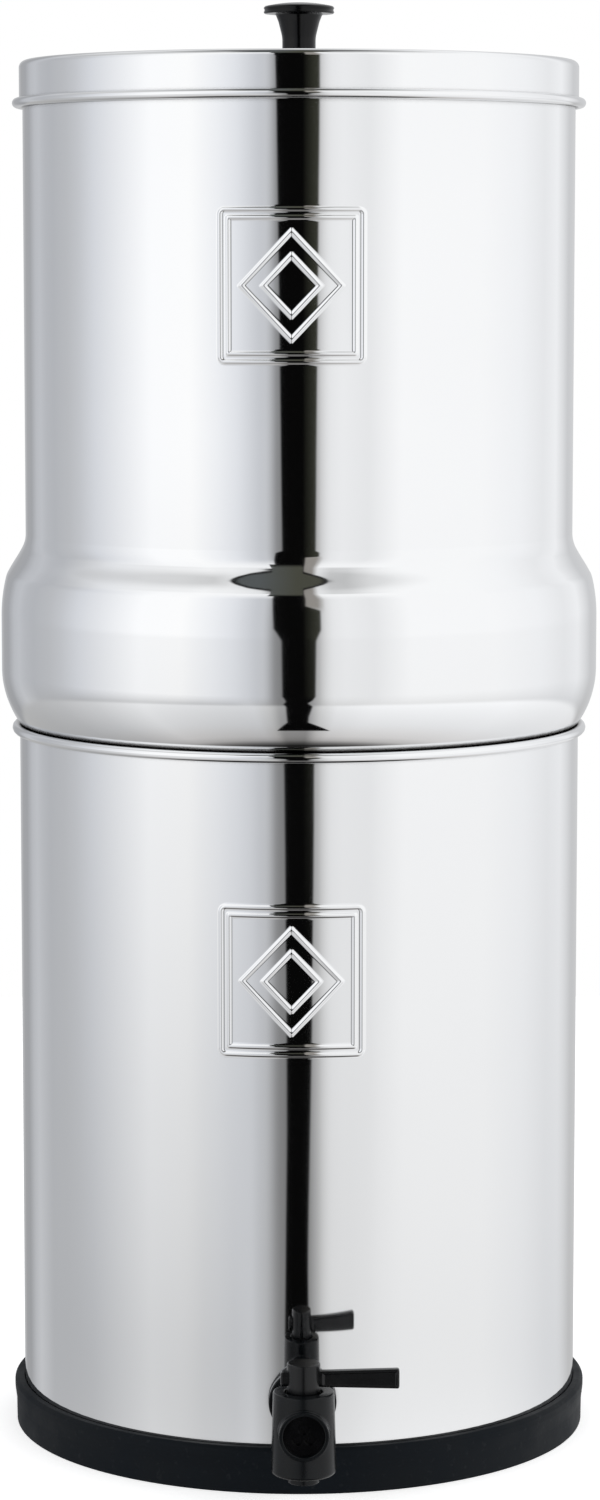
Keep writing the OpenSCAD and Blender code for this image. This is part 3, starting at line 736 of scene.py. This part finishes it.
class Sky(Desk):
    """Calls for the world's tree, with two angles of each direction in degrees: round the
    object from the tap's side, the arctangent of X over -Y, and above level, the arcsine of
    Z."""

    def __init__(self, tree):
        super().__init__(tree)
        direction = self.node("ShaderNodeTexCoord").outputs["Generated"]
        part = self.node("ShaderNodeSeparateXYZ", {"Vector": direction}).outputs
        front = self.maths("MULTIPLY", part["Y"], -1.0)
        self.around = self.maths("DEGREES", self.maths("ARCTAN2", part["X"], front))
        self.rise = self.maths("DEGREES", self.maths("ARCSINE", part["Z"]))

    def round_about(self, stops):
        """Light by the angle round the object, from stops (degrees, brightness, coolness).
        Coolness takes from red and adds to blue."""
        return self.ramp(self.around, 360, [
            (degrees, (bright * (1 - 0.024 * cool), bright, min(1, bright * (1 + 0.055 * cool))))
            for degrees, bright, cool in stops])

    def shifted(self, start, along, steps):
        """A start that changes by an amount over each (low, high, amount) of an angle."""
        for low, high, amount in steps:
            start = self.maths("ADD", start, self.spread(along, low, high, 0.0, amount))
        return start

    def product(self, first, *others):
        """The product of two or more values."""
        for other in others:
            first = self.maths("MULTIPLY", first, other)
        return first


def tent_walls(sky):
    """Light of the walls and the ground: level light, the ground near by and the ground
    further in, which follow one another by elevation."""
    level = sky.round_about([
        (-180, 0.50, 0.3), (-168, 0.44, 0.6), (-162, 0.355, 0.6), (-152, 0.355, 0.9),
        (-144, 0.48, 1), (-138, 0.51, 1), (-131, 0.465, 1), (-124, 0.45, 1), (-112, 0.49, 0.8),
        (-104, 0.55, 0.9), (-94, 0.67, 1), (-64, 0.965, 0.2), (-46, 0.97, 0), (-34, 0.86, 0.5),
        (-26, 0.76, 0.8), (-17, 0.575, 1), (-13.5, 0.55, 0.8), (-9.5, 0.24, 0.4), (-5, 0.19, 0),
        (6.5, 0.42, 0), (9, 0.66, 0.1), (12, 0.79, 0.2), (17, 0.83, 0.2), (28, 0.79, 0.2),
        (42, 0.93, 0.1), (80, 0.925, 0.1), (104, 0.875, 0.3), (122, 0.79, 0.3), (135, 0.84, 0.3),
        (152, 0.56, 0.4), (180, 0.58, 0.3)])
    ground = sky.round_about([
        (-180, 0.46, 0.3), (-168, 0.42, 0.4), (-162, 0.31, 0.5), (-152, 0.31, 0.6),
        (-144, 0.44, 0.6), (-137, 0.53, 0.5), (-131, 0.49, 0.5), (-124, 0.42, 0.5),
        (-112, 0.41, 0.5), (-95, 0.40, 0.4), (-64, 0.52, 0.2), (-50, 0.50, 0.2), (-40, 0.45, 0.3),
        (-27, 0.45, 0.5), (-20, 0.52, 0.5), (-14, 0.39, 0.2), (-8, 0.20, 0), (3, 0.17, 0),
        (9, 0.52, 0), (12, 0.62, 0), (20, 0.65, 0), (32, 0.73, 0), (52, 0.75, 0), (80, 0.75, 0),
        (104, 0.70, 0.2), (130, 0.62, 0.4), (140, 0.60, 0.3), (155, 0.45, 0), (180, 0.45, 0)])
    inner = sky.round_about([
        (-180, 0.42, 0), (-150, 0.42, 0), (-130, 0.44, 0.2), (-110, 0.49, 0.3), (-88, 0.60, 0.3),
        (-64, 0.78, 0.2), (-48, 0.73, 0.2), (-32, 0.68, 0.3), (-18, 0.65, 0.4), (-12, 0.54, 0),
        (-8, 0.34, 0), (3, 0.32, 0), (8, 0.62, 0), (14, 0.80, 0.2), (28, 0.88, 0.2), (52, 0.91, 0.2),
        (90, 0.92, 0.2), (140, 0.79, 0.2), (180, 0.55, 0)])
    lit = sky.maths("POWER", sky.spread(sky.rise, -16.5, -2.5), 0.65)
    near = sky.blend(lit, ground, level)
    return sky.blend(sky.spread(sky.rise, -14.8, -18.6, kind="SMOOTHSTEP"), near, inner)


def tent_roof(sky, look, light):
    """The light with the roof over it: white from half way up, shaded past an edge that
    climbs from the left towards the front, and with a dim patch beside the slit."""
    white = sky.spread(sky.rise, 22.0, 50.0, 0.0, 0.8, "SMOOTHSTEP")
    light = sky.blend(white, light, look.roof)
    shade = sky.ramp(sky.around, 360, [(degrees, (amount,) * 3) for degrees, amount in (
        (-180, 0.06), (-145, 0.12), (-120, 0.30), (-83, 0.26), (-49, 0.34), (-38, 0.15), (10, 0.15),
        (17, 0.38), (26, 0.40), (40, 0.24), (58, 0.13), (100, 0.06), (180, 0.05))])
    edge = sky.spread(sky.around, -120.0, -49.0, 30.0, 49.5)
    past = sky.spread(sky.maths("SUBTRACT", sky.rise, edge), 0.0, 6.0)
    light = sky.blend(sky.product(shade, past), light, (0.0, 0.0, 0.0))
    patch = sky.product(sky.spread(sky.around, 0.0, 1.5), sky.spread(sky.around, 9.5, 6.5),
                        sky.spread(sky.rise, 13.0, 18.0))
    return sky.blend(patch, light, look.patch)


def tent_fade(sky, light):
    """The light changed by elevation, from stops (degrees, brightness, warmth). Warmth takes
    from green and, almost twice as much, from blue."""
    fade = sky.ramp(sky.rise, 180, [
        (degrees, (bright, bright * (1 - warm), bright * (1 - 1.8 * warm)))
        for degrees, bright, warm in (
            (-90, 0.01, 0), (-68, 0.02, 0.02), (-64, 0.20, 0.03), (-60, 0.52, 0.03),
            (-55, 0.68, 0.025), (-48, 0.76, 0.015), (-40, 0.84, 0), (-32, 0.90, 0),
            (-24, 0.96, 0), (-17, 1.03, 0), (-15, 1.0, 0), (52, 1.0, 0), (60, 0.92, 0), (66, 0.66, 0),
            (75, 0.24, 0), (90, 0.12, 0))])
    return sky.node("ShaderNodeVectorMath", {0: light, 1: fade}, operation="MULTIPLY").outputs[0]


def tent_slit(sky, look, light):
    """The light with the dark slit that the camera looks in by, between two edges whose
    angles change with elevation. It narrows towards the ground, fans out below and ends."""
    climb = sky.maths("POWER", sky.spread(sky.rise, -12.0, 3.0), 1.4)
    left = sky.shifted(sky.maths("MULTIPLY_ADD", climb, -4.6, -5.6), sky.rise, [
        (5, 40, -1.8), (-12, -15, -0.9), (-15, -18, 0.9), (-37, -47.5, -5.4)])
    right = sky.shifted(2.9, sky.rise, [
        (-13.8, -10.5, 1.7), (-10.5, 2, 3.0), (15, 18, -5.6), (-14.0, -17.5, 1.7),
        (-18, -30, -1.2), (-37, -47.5, 10.7)])
    soft = math.degrees(look.slit_soft) / 2
    inside = [sky.spread(sky.maths("SUBTRACT", high, low), -soft, soft, kind="SMOOTHSTEP")
              for high, low in ((sky.around, left), (right, sky.around))]
    slit = sky.product(sky.spread(sky.rise, -48.0, -47.0), *inside)
    pale = sky.product(sky.spread(sky.around, 1.0, 6.0), sky.spread(sky.rise, -10.0, -3.0))
    return sky.blend(slit, light, sky.blend(pale, look.slit, look.slit_pale))


def tent_opening(sky, look, light):
    """The light with the dim opening in the roof. The height of its edge changes along it and
    dips to a pointed foot, a dark rim follows the edge, and the inside shades across."""
    edge = sky.shifted(sky.spread(sky.around, -41.0, -27.6, 57.6, 55.0), sky.around, [
        (-27.6, -16.2, -0.8), (-15.6, -14.6, -13.2), (0.8, 1.5, 14.2), (1.5, 17.0, 4.7)])
    above = sky.maths("SUBTRACT", sky.rise, edge)
    ends = sky.product(sky.spread(sky.around, -46.0, -41.0), sky.spread(sky.around, 22.0, 17.0))
    rim = sky.product(ends, sky.spread(above, -0.3, 0.2))
    light = sky.blend(rim, light, look.opening_rim)
    within = sky.product(ends, sky.spread(above, 0.7, 1.7), sky.spread(sky.rise, 41.0, 52.0))
    across = sky.spread(sky.around, -24.0, -2.0)
    return sky.blend(within, light, sky.blend(across, look.opening_left, look.opening_right))


def tent(look):
    """The white tent as the world: a colour for each direction, and plain white where the
    camera sees it."""
    world = bpy.data.worlds.new("white tent")
    bpy.context.scene.world = world
    world.use_nodes = True
    world.node_tree.nodes.clear()
    sky = Sky(world.node_tree)
    light = tent_roof(sky, look, tent_walls(sky))
    light = tent_fade(sky, light)
    light = tent_slit(sky, look, light)
    light = tent_opening(sky, look, light)
    seen = sky.node("ShaderNodeLightPath").outputs["Is Camera Ray"]
    background = sky.node("ShaderNodeBackground", {
        "Color": sky.blend(seen, light, (1.0, 1.0, 1.0)),
        "Strength": sky.spread(seen, 0.0, 1.0, look.tent_strength, 1.0)})
    sky.node("ShaderNodeOutputWorld", {"Surface": background.outputs[0]})


# Operators

class FILTER_OT_stage(Operator):
    """Camera, pale floor and white tent"""

    bl_idname = "water_filter.stage"
    bl_label = "Stage"

    def execute(self, context):
        look = context.scene.filter_stage
        context.scene.view_settings.view_transform = "Standard"
        camera = bpy.data.objects.new("camera", bpy.data.cameras.new("camera"))
        camera.data.lens = look.lens
        camera.location = (look.distance * math.sin(look.side),
                           -look.distance * math.cos(look.side), look.height)
        camera.rotation_euler = (math.pi / 2 - look.pitch, 0, look.side - look.aim)
        context.scene.collection.objects.link(camera)
        context.scene.camera = camera

        turn = even_columns(96)
        rim = look.floor_radius * np.stack([np.sin(turn), -np.cos(turn), 0 * turn], axis=1)
        mesh = bpy.data.meshes.new("pale floor")
        mesh.from_pydata(rim.tolist(), [], [list(range(len(turn)))])
        mesh.materials.append(plain_floor(look))
        floor = bpy.data.objects.new("pale floor", mesh)
        floor.visible_glossy = False
        context.scene.collection.objects.link(floor)
        tent(look)
        return {"FINISHED"}


class FILTER_OT_base_ring(Operator):
    """Rubber ring that the lower chamber stands in, whose wall swells below its top edge"""

    bl_idname = "water_filter.base_ring"
    bl_label = "Base ring"

    def execute(self, context):
        size = context.scene.filter_lower
        inner = size.radius + size.ring_gap
        outer, ledge, top = inner + size.ring_wall, inner - size.ledge_width, size.ring_height
        foot, waist, swell, chamfer = outer - 0.0007, outer - 0.0006, 0.0036, 0.0012
        outline = rounded([
            (ledge, 0, 0.0004), (foot, 0, 0.0005), (waist, top / 2, 0.008),
            (outer, top - swell, 0.005), (outer, top - chamfer, 0.001),
            (outer - chamfer, top, 0.0008), (inner, top, 0.0004),
            (inner, size.ring_ledge, 0.0003), (ledge, size.ring_ledge, 0.0006)])
        points, normals = revolved(outline, even_columns(256), loop=True)
        make_piece("rubber_base_ring", [(points, normals, True)], "ring_rubber", "lower",
                   ["base_ring"])
        return {"FINISHED"}


class FILTER_OT_lower_chamber(Operator):
    """Lower chamber with its rolled rim and embossed square"""

    bl_idname = "water_filter.lower_chamber"
    bl_label = "Lower chamber"

    def execute(self, context):
        size, sheets = context.scene.filter_lower, context.scene.filter_sheets
        square = context.scene.filter_square
        wall, inner, floor, bend = size.radius, size.radius - sheets.sheet, size.floor, size.bend
        upper_floor = floor + sheets.sheet
        bead_z = size.rim - size.bead
        bead = (inner - sheets.bite + size.bead, bead_z)
        end, below_bead = math.degrees(sheets.bead_end), 0.001
        outline = np.concatenate([
            straight((0, floor), (wall - bend, floor), count=4),
            arc((wall - bend, floor + bend), bend, -90, 0, step=6),
            wall_rows(wall, floor + bend, bead_z, size.square, square, sheets.fine_step),
            arc(bead, size.bead - sheets.sheet, 170, -end, step=16),
            arc(bead, size.bead, -end, 180, step=9),
            straight((inner, bead_z - below_bead), (inner, floor + bend), count=4),
            arc((wall - bend, floor + bend), bend - sheets.sheet, 0, -90, step=9),
            straight((wall - bend, upper_floor), (0, upper_floor), count=4)])
        angles = vessel_columns(wall, sheets, square)
        points, normals = revolved(outline, angles)
        points, normals = pressed_square(points, normals, angles, wall, size.square, square)
        make_piece("steel_lower_chamber", [(points, normals, False)], "polished_steel", "lower",
                   ["lower_chamber"])
        return {"FINISHED"}


def shoulder_outline(size, inset, coarse):
    """Outline of the upper chamber's sheet from its floor to the foot of its wall, moved in
    by the inset, with steps that grow by the coarse factor. Arcs that touch one another end
    to end are joined by the upright band and the slope: each arc's radius shrinks or grows by
    the inset. A drawn slope is never quite straight, so this one sways by a height times the
    sine of a whole turn along its length, which makes it lean most half way up."""
    crown_z = size.seat_height + size.band
    turn, slope = math.degrees(size.crown_turn), math.degrees(size.slope)
    seat = np.array([size.shoulder - size.seat, size.seat_height])
    crown = np.array([size.shoulder - size.crown, crown_z])
    knuckle = crown + (size.crown - size.knuckle) * np.array(
        [math.cos(size.crown_turn), math.sin(size.crown_turn)])
    foot = knuckle + size.knuckle * np.array([math.cos(size.slope), math.sin(size.slope)])
    run = (foot[0] - size.radius - size.hollow * (1 - math.cos(size.slope))) / math.sin(size.slope)
    hollow = np.array([size.radius + size.hollow,
                       foot[1] + run * math.cos(size.slope) + size.hollow * math.sin(size.slope)])
    seat_r = size.seat - inset
    start = -math.degrees(math.acos((size.spigot - inset - seat[0]) / seat_r))
    spigot = np.array([size.spigot - size.bend, size.floor + size.bend])
    outwards = np.array([math.cos(size.slope), math.sin(size.slope)])
    low = knuckle + (size.knuckle - inset) * outwards
    high = hollow - (size.hollow + inset) * outwards
    part = np.linspace(0, 1, int(25 / coarse))[1:-1, None]
    sway = low + part * (high - low) + outwards * size.sway * np.sin(2 * math.pi * part)
    return np.concatenate([
        straight((0, size.floor + inset), (spigot[0], size.floor + inset), count=4),
        arc(spigot, size.bend - inset, -90, 0, step=10),
        arc(seat, seat_r, start, 0, step=2.5 * coarse),
        arc(crown, size.crown - inset, 0, turn, step=1.2 * coarse),
        arc(knuckle, size.knuckle - inset, turn, slope, step=2 * coarse),
        sway,
        arc(hollow, size.hollow + inset, 180 + slope, 180, step=2.2 * coarse)])


class FILTER_OT_upper_chamber(Operator):
    """Upper chamber: spigot, seat and shoulder in tangent arcs, wall with its square, and hem"""

    bl_idname = "water_filter.upper_chamber"
    bl_label = "Upper chamber"

    def execute(self, context):
        size, sheets = context.scene.filter_upper, context.scene.filter_sheets
        square = context.scene.filter_square
        hem_z = size.rim - size.hem
        hem = (size.radius + sheets.bite - size.hem, hem_z)
        end, below_hem = math.degrees(size.hem_end), 0.001
        outside = shoulder_outline(size, 0.0, 1.0)
        inside = shoulder_outline(size, sheets.sheet, 2.5)[::-1]
        outline = np.concatenate([
            outside,
            wall_rows(size.radius, outside[-1, 1], hem_z, size.square, square, sheets.fine_step),
            arc(hem, size.hem, 0, end, step=10),
            arc(hem, size.hem - sheets.sheet, end, 10, step=18),
            straight((size.radius - sheets.sheet, hem_z - below_hem), inside[0], count=4),
            inside])
        angles = vessel_columns(size.radius, sheets, square)
        points, normals = revolved(outline, angles)
        points, normals = pressed_square(points, normals, angles, size.radius, size.square, square)
        make_piece("steel_upper_chamber", [(points, normals, False)], "polished_steel", "upper",
                   ["upper_chamber"])
        return {"FINISHED"}


class FILTER_OT_lid(Operator):
    """Lid: raised middle, bent edge, skirt and rolled bead"""

    bl_idname = "water_filter.lid"
    bl_label = "Lid"

    def execute(self, context):
        size, sheets = context.scene.filter_lid, context.scene.filter_sheets
        inner = size.radius - sheets.sheet
        bead = (inner - sheets.bite + size.bead, size.bead_height)
        end = 360 + math.degrees(sheets.bead_end)
        top = size.plate + size.rise
        under = top - (size.plate - size.under)
        edge = size.plateau + size.step
        upper = rounded([
            (size.hole, top, 0), (size.plateau, top, 0.012), (edge, size.plate, 0.012),
            (size.radius, size.plate, size.bend), (size.radius, size.bead_height, 0)], steps=10)
        lower = rounded([
            (inner, size.bead_height, 0), (inner, size.under, size.bend - sheets.sheet),
            (edge, size.under, 0.006), (size.plateau, under, 0.006), (size.hole, under, 0)])
        outline = np.concatenate([
            upper,
            arc(bead, size.bead - sheets.sheet, 190, end, step=16),
            arc(bead, size.bead, end, 180, step=9),
            lower])
        points, normals = revolved(outline, even_columns(280), loop=True)
        make_piece("steel_lid", [(points, normals, True)], "polished_steel", "lid", ["lid"])
        return {"FINISHED"}


class FILTER_OT_knob(Operator):
    """Moulded knob with a domed head"""

    bl_idname = "water_filter.knob"
    bl_label = "Knob"

    def execute(self, context):
        size = context.scene.filter_lid
        head, neck, foot, tall = size.knob_head, size.knob_neck, size.knob_foot, size.knob_height
        edge, base = tall - size.knob_dome, head - 0.0005
        under = edge - size.knob_rim
        groove, eased, foot_top, neck_low = 0.0004, 0.0006, 0.0016, 0.0036
        dome = (base ** 2 + size.knob_dome ** 2) / (2 * size.knob_dome)
        side = rounded([
            (0, 0, 0), (foot, 0, 0.0008), (foot - 0.0004, foot_top, 0.0006),
            (neck, neck_low, 0.002), (neck, 0.49 * under, 0.012),
            (neck + 0.0014, 0.83 * under, 0.006), (neck + 0.0025, under, 0.001),
            (head - 0.0004, under + 0.0001, 0.0003), (head, under + eased, 0.0002),
            (head - groove, (under + edge) / 2, 0.0008), (head, edge - eased, 0.0002),
            (base, edge, 0)], steps=9)
        cap = arc((0, tall - dome), dome, math.degrees(math.acos(base / dome)), 90, step=0.8)
        outline = moved(np.concatenate([side, cap]), (0, size.plate + size.rise))
        points, normals = revolved(outline, even_columns(128))
        make_piece("moulded_knob", [(points, normals, False)], "knob_plastic", "lid", ["lid_knob"])
        return {"FINISHED"}


def branch(size, radius, inner, side, rows):
    """A round arm that leaves the barrel, with a fillet. The arm's axis is level, towards
    the vessel (side 1) or away from it (side -1). It starts inside the barrel, at the inner
    radius. Near the barrel a ring of the arm is the barrel's own face at the ring's width
    plus a distance d, and its radius grows to the barrel by the fillet less the height of a
    quarter circle at d. Rows then give the rest as (radius, distance from the tap's axis)."""
    turn = even_columns(96)
    barrel = (size.barrel + size.barrel_top) / 2
    sunk = -0.002
    flare = np.linspace(0, 1, 8)
    grow = size.fillet * (1 - np.sqrt(1 - (1 - flare) ** 2))
    width = np.concatenate([[inner, radius], radius + grow])
    push = np.concatenate([[sunk, sunk], size.fillet * flare])
    x = width[:, None] * np.cos(turn)
    near = np.sqrt(np.maximum(barrel ** 2 - x ** 2, 0)) + push[:, None]
    along = np.concatenate([near, np.broadcast_to(rows[:, 1:], (len(rows), len(turn)))])
    width = np.concatenate([width, rows[:, 0]])[:, None]
    return np.stack([width * np.cos(turn), side * along, width * np.sin(turn)], axis=-1)


def grid_normals(points, loop):
    """Normals of a grid that closes round its columns: the cross product of the steps between
    the neighbours on both sides."""
    around = np.roll(points, -1, axis=1) - np.roll(points, 1, axis=1)
    if loop:
        up = np.roll(points, -1, axis=0) - np.roll(points, 1, axis=0)
    else:
        step = np.diff(points, axis=0)
        up = np.concatenate([step[:1], step[1:] + step[:-1], step[-1:]])
    return unit(np.cross(around, up))


def at_tap(size, *shells):
    """Shells carried from where the tap's two axes cross to the tap's place."""
    shift = (0, -size.reach, size.height)
    return [(moved(points, shift), normals, loop) for points, normals, loop in shells]


def tap_barrel(size):
    """Barrel, nozzle, waterway, valve bore and clip groove: an outline carried round the
    upright axis. The rows along the taper let its front be flat behind the boss's recess,
    where Y is held just behind the recess's back."""
    foot, nozzle = -size.barrel_down, -size.barrel_down - size.nozzle_long
    low, high = np.array([[size.barrel, foot, 0], [size.barrel_top, size.barrel_up, 0]])
    taper = low + np.linspace(0.22, 0.86, 38)[:, None] * (high - low)
    outline = rounded([
        (size.waterway, -size.bore_floor, 0), (size.waterway, nozzle, 0.0003),
        (size.nozzle, nozzle, 0.0004), (size.nozzle, foot, 0.0004),
        (size.barrel, foot, 0.0015), *taper, (size.barrel_top, size.barrel_up, 0.0006),
        (size.bore, size.barrel_up, 0.0003), (size.bore, size.groove_high, 0),
        (size.groove, size.groove_high, 0), (size.groove, size.groove_low, 0),
        (size.bore, size.groove_low, 0), (size.bore, -size.bore_floor, 0)], steps=7)
    points, normals = revolved(outline, even_columns(128), loop=True)
    behind = 0.0001 - size.recess_back
    sunk = np.hypot(points[..., 0], points[..., 2]) < (size.recess + size.boss) / 2
    points[..., 1] = np.where(sunk, np.maximum(points[..., 1], behind), points[..., 1])
    return points, normals, True


def tap_neck(size):
    """Neck, flange and shank, with the waterway through them."""
    near, far = size.flange_near, size.shank_end
    back = near + size.flange_thick
    rows = rounded([
        (size.neck, size.neck_start, 0), (size.neck, near, 0.0012), (size.flange, near, 0.0005),
        (size.flange, back, 0.0004), (size.shank, back, 0.0003), (size.shank, far, 0.0008),
        (size.waterway, far, 0.0004)])
    points = branch(size, size.neck, size.waterway, 1, without_doubles(rows))
    return points, grid_normals(points, True), True


def tap_boss(size):
    """Round boss with its recess."""
    front, back = size.boss_out, size.recess_back
    rows = rounded([
        (size.boss, front - 0.001, 0), (size.boss, front, 0.0004), (size.recess, front, 0.0003),
        (size.recess, back, 0.0002), (0, back, 0)])
    points = branch(size, size.boss, 0.0, -1, without_doubles(rows))
    return points, grid_normals(points, False), False


class FILTER_OT_tap_body(Operator):
    """Tap body: barrel with nozzle and valve bore, neck with flange and shank, and boss"""

    bl_idname = "water_filter.tap_body"
    bl_label = "Tap body"

    def execute(self, context):
        size = context.scene.filter_tap
        shells = at_tap(size, tap_barrel(size), tap_neck(size), tap_boss(size))
        make_piece("moulded_tap_body", shells, "tap_plastic", "lower", ["tap_body"])
        return {"FINISHED"}


def box_section(half_wide, half_tall, corner, count):
    """Places along a rounded rectangle, for a whole turn: a superellipse whose power p grows
    with how tight the corner is. The cosine and the sine are divided by the p-th root of the
    sum of both to the power p, and taken times the two half sizes."""
    power = 2 + 0.9 * np.minimum(half_wide, half_tall) / corner
    turn = even_columns(count) + math.pi / count
    sine, cosine = np.sin(turn), np.cos(turn)
    scale = (np.abs(cosine) ** power[..., None] + np.abs(sine) ** power[..., None]) ** (
        -1 / power[..., None])
    return half_wide[..., None] * cosine * scale, half_tall[..., None] * sine * scale


def lever_hub(size):
    """The round hub, closed on its axis."""
    outline = rounded([
        (0, size.hub_foot, 0), (size.hub, size.hub_foot, 0.0004),
        (size.hub, size.hub_top, 0.0006), (0, size.hub_top, 0)], steps=7)
    points, normals = revolved(outline, even_columns(96))
    return points, normals, False


def lever_bar(size):
    """The handle: rounded sections whose height grows evenly from tail to end, closed at both
    ends by sections that shrink along a quarter circle. On each side a panel is sunk by its
    depth, with smooth steps at the rim's inner edge."""
    corner, rim, tail, tip = size.lever_corner, size.lever_rim, -size.lever_tail, size.lever_long
    quarter = np.linspace(0, math.pi / 2, 7)
    after_tail, past_hub, before_panel, before_tip = 0.0015, 0.0002, 0.0005, 0.0008
    along = np.concatenate([
        tail + corner * (1 - np.cos(quarter)),
        np.linspace(tail + after_tail, size.hub + past_hub, 6),
        np.linspace(size.hub + before_panel, tip - before_tip, 96),
        tip - corner * (1 - np.cos(quarter[::-1]))])
    ends = 1 - np.sin(quarter)
    plain = np.zeros(len(along) - 2 * len(ends))
    shrink = corner * np.concatenate([ends, plain, ends[::-1]])
    part = (along - tail) / (tip - tail)
    tall = (size.lever_deep + (size.lever_end - size.lever_deep) * part) / 2 - shrink
    y, z = box_section(size.lever_thick / 2 - shrink, tall, corner, 120)
    x = np.broadcast_to(along[:, None], y.shape)
    inside = np.minimum(tall[:, None] - np.abs(z), np.minimum(tip - x, x - size.hub)) - rim
    sunk = np.clip(inside / size.panel_edge + 0.5, 0, 1)
    sunk = size.lever_panel * sunk ** 2 * (3 - 2 * sunk)
    y = np.sign(y) * np.maximum(np.abs(y) - sunk, 0)
    bar = np.stack([x, y, z + size.lever_height], axis=-1)
    middle = np.broadcast_to(bar.mean(axis=1, keepdims=True), bar.shape)
    bar = np.concatenate([middle[:1], bar, middle[-1:]])
    normals = grid_normals(bar, False)
    normals[0], normals[-1] = (-1, 0, 0), (1, 0, 0)
    return bar, normals, False


def lever_drive(size):
    """The square drive under the hub: rounded sections stacked upwards, closed at both ends,
    with a small taper at the foot. It reaches into the hub a little."""
    foot, taper, lap, corner = size.hub_foot - size.drive_deep, 0.0003, 0.001, 0.0004
    closed = 1e-9
    heights = np.array([foot, foot, foot + taper, size.hub_foot + lap, size.hub_foot + lap])
    half = np.array([closed, 0.47 * size.drive, size.drive / 2, size.drive / 2, closed])
    x, y = box_section(half, half, corner, 64)
    x, y = x * (half > closed)[:, None], y * (half > closed)[:, None]
    points = np.stack([x, y, np.broadcast_to(heights[:, None], x.shape)], axis=-1)
    return points, grid_normals(points, False), False


class FILTER_OT_tap_lever(Operator):
    """Tap lever: hub, flat handle with a sunk panel on each side, and square drive"""

    bl_idname = "water_filter.tap_lever"
    bl_label = "Tap lever"

    def execute(self, context):
        size = context.scene.filter_tap
        shells = at_tap(size, lever_hub(size), lever_bar(size), lever_drive(size))
        make_piece("moulded_tap_lever", shells, "knob_plastic", "valve", ["tap_lever"],
                   look="lever_plastic")
        return {"FINISHED"}


class FILTER_OT_cad_parts(Operator):
    """Finishes for the CAD pieces that are shown as they are"""

    bl_idname = "water_filter.cad_parts"
    bl_label = "Candles, cups, seals, nuts and valve"

    def execute(self, context):
        for part in frame["record"]["subparts"]:
            node = frame["nodes"][part["node"]]
            for slot in node.material_slots:
                slot.material = finish(part["material_slot"])
        return {"FINISHED"}


class FILTER_PT_pieces(Panel):
    """Lists the pieces"""

    bl_idname = "FILTER_PT_pieces"
    bl_label = "Water filter"
    bl_space_type = "VIEW_3D"
    bl_region_type = "UI"
    bl_category = "Water filter"

    def draw(self, context):
        for operator in OPERATORS:
            self.layout.operator(operator.bl_idname)


GROUPS = {
    "filter_sheets": FilterSheetSizes, "filter_square": FilterSquareSizes,
    "filter_lower": FilterLowerSizes, "filter_upper": FilterUpperSizes,
    "filter_lid": FilterLidSizes, "filter_tap": FilterTapSizes,
    "filter_finishes": FilterFinishes, "filter_stage": FilterStageLook,
}
OPERATORS = (
    FILTER_OT_stage, FILTER_OT_base_ring, FILTER_OT_lower_chamber, FILTER_OT_tap_body,
    FILTER_OT_tap_lever, FILTER_OT_upper_chamber, FILTER_OT_lid, FILTER_OT_knob,
    FILTER_OT_cad_parts,
)


def register():
    for kind in (*GROUPS.values(), *OPERATORS, FILTER_PT_pieces):
        bpy.utils.register_class(kind)
    for name, group in GROUPS.items():
        setattr(bpy.types.Scene, name, PointerProperty(type=group))


def unregister():
    for name in GROUPS:
        delattr(bpy.types.Scene, name)
    for kind in reversed((*GROUPS.values(), *OPERATORS, FILTER_PT_pieces)):
        bpy.utils.unregister_class(kind)


def main():
    register()
    for operator in OPERATORS:
        group, name = operator.bl_idname.split(".")
        getattr(getattr(bpy.ops, group), name)()


if __name__ == "__main__":
    main()
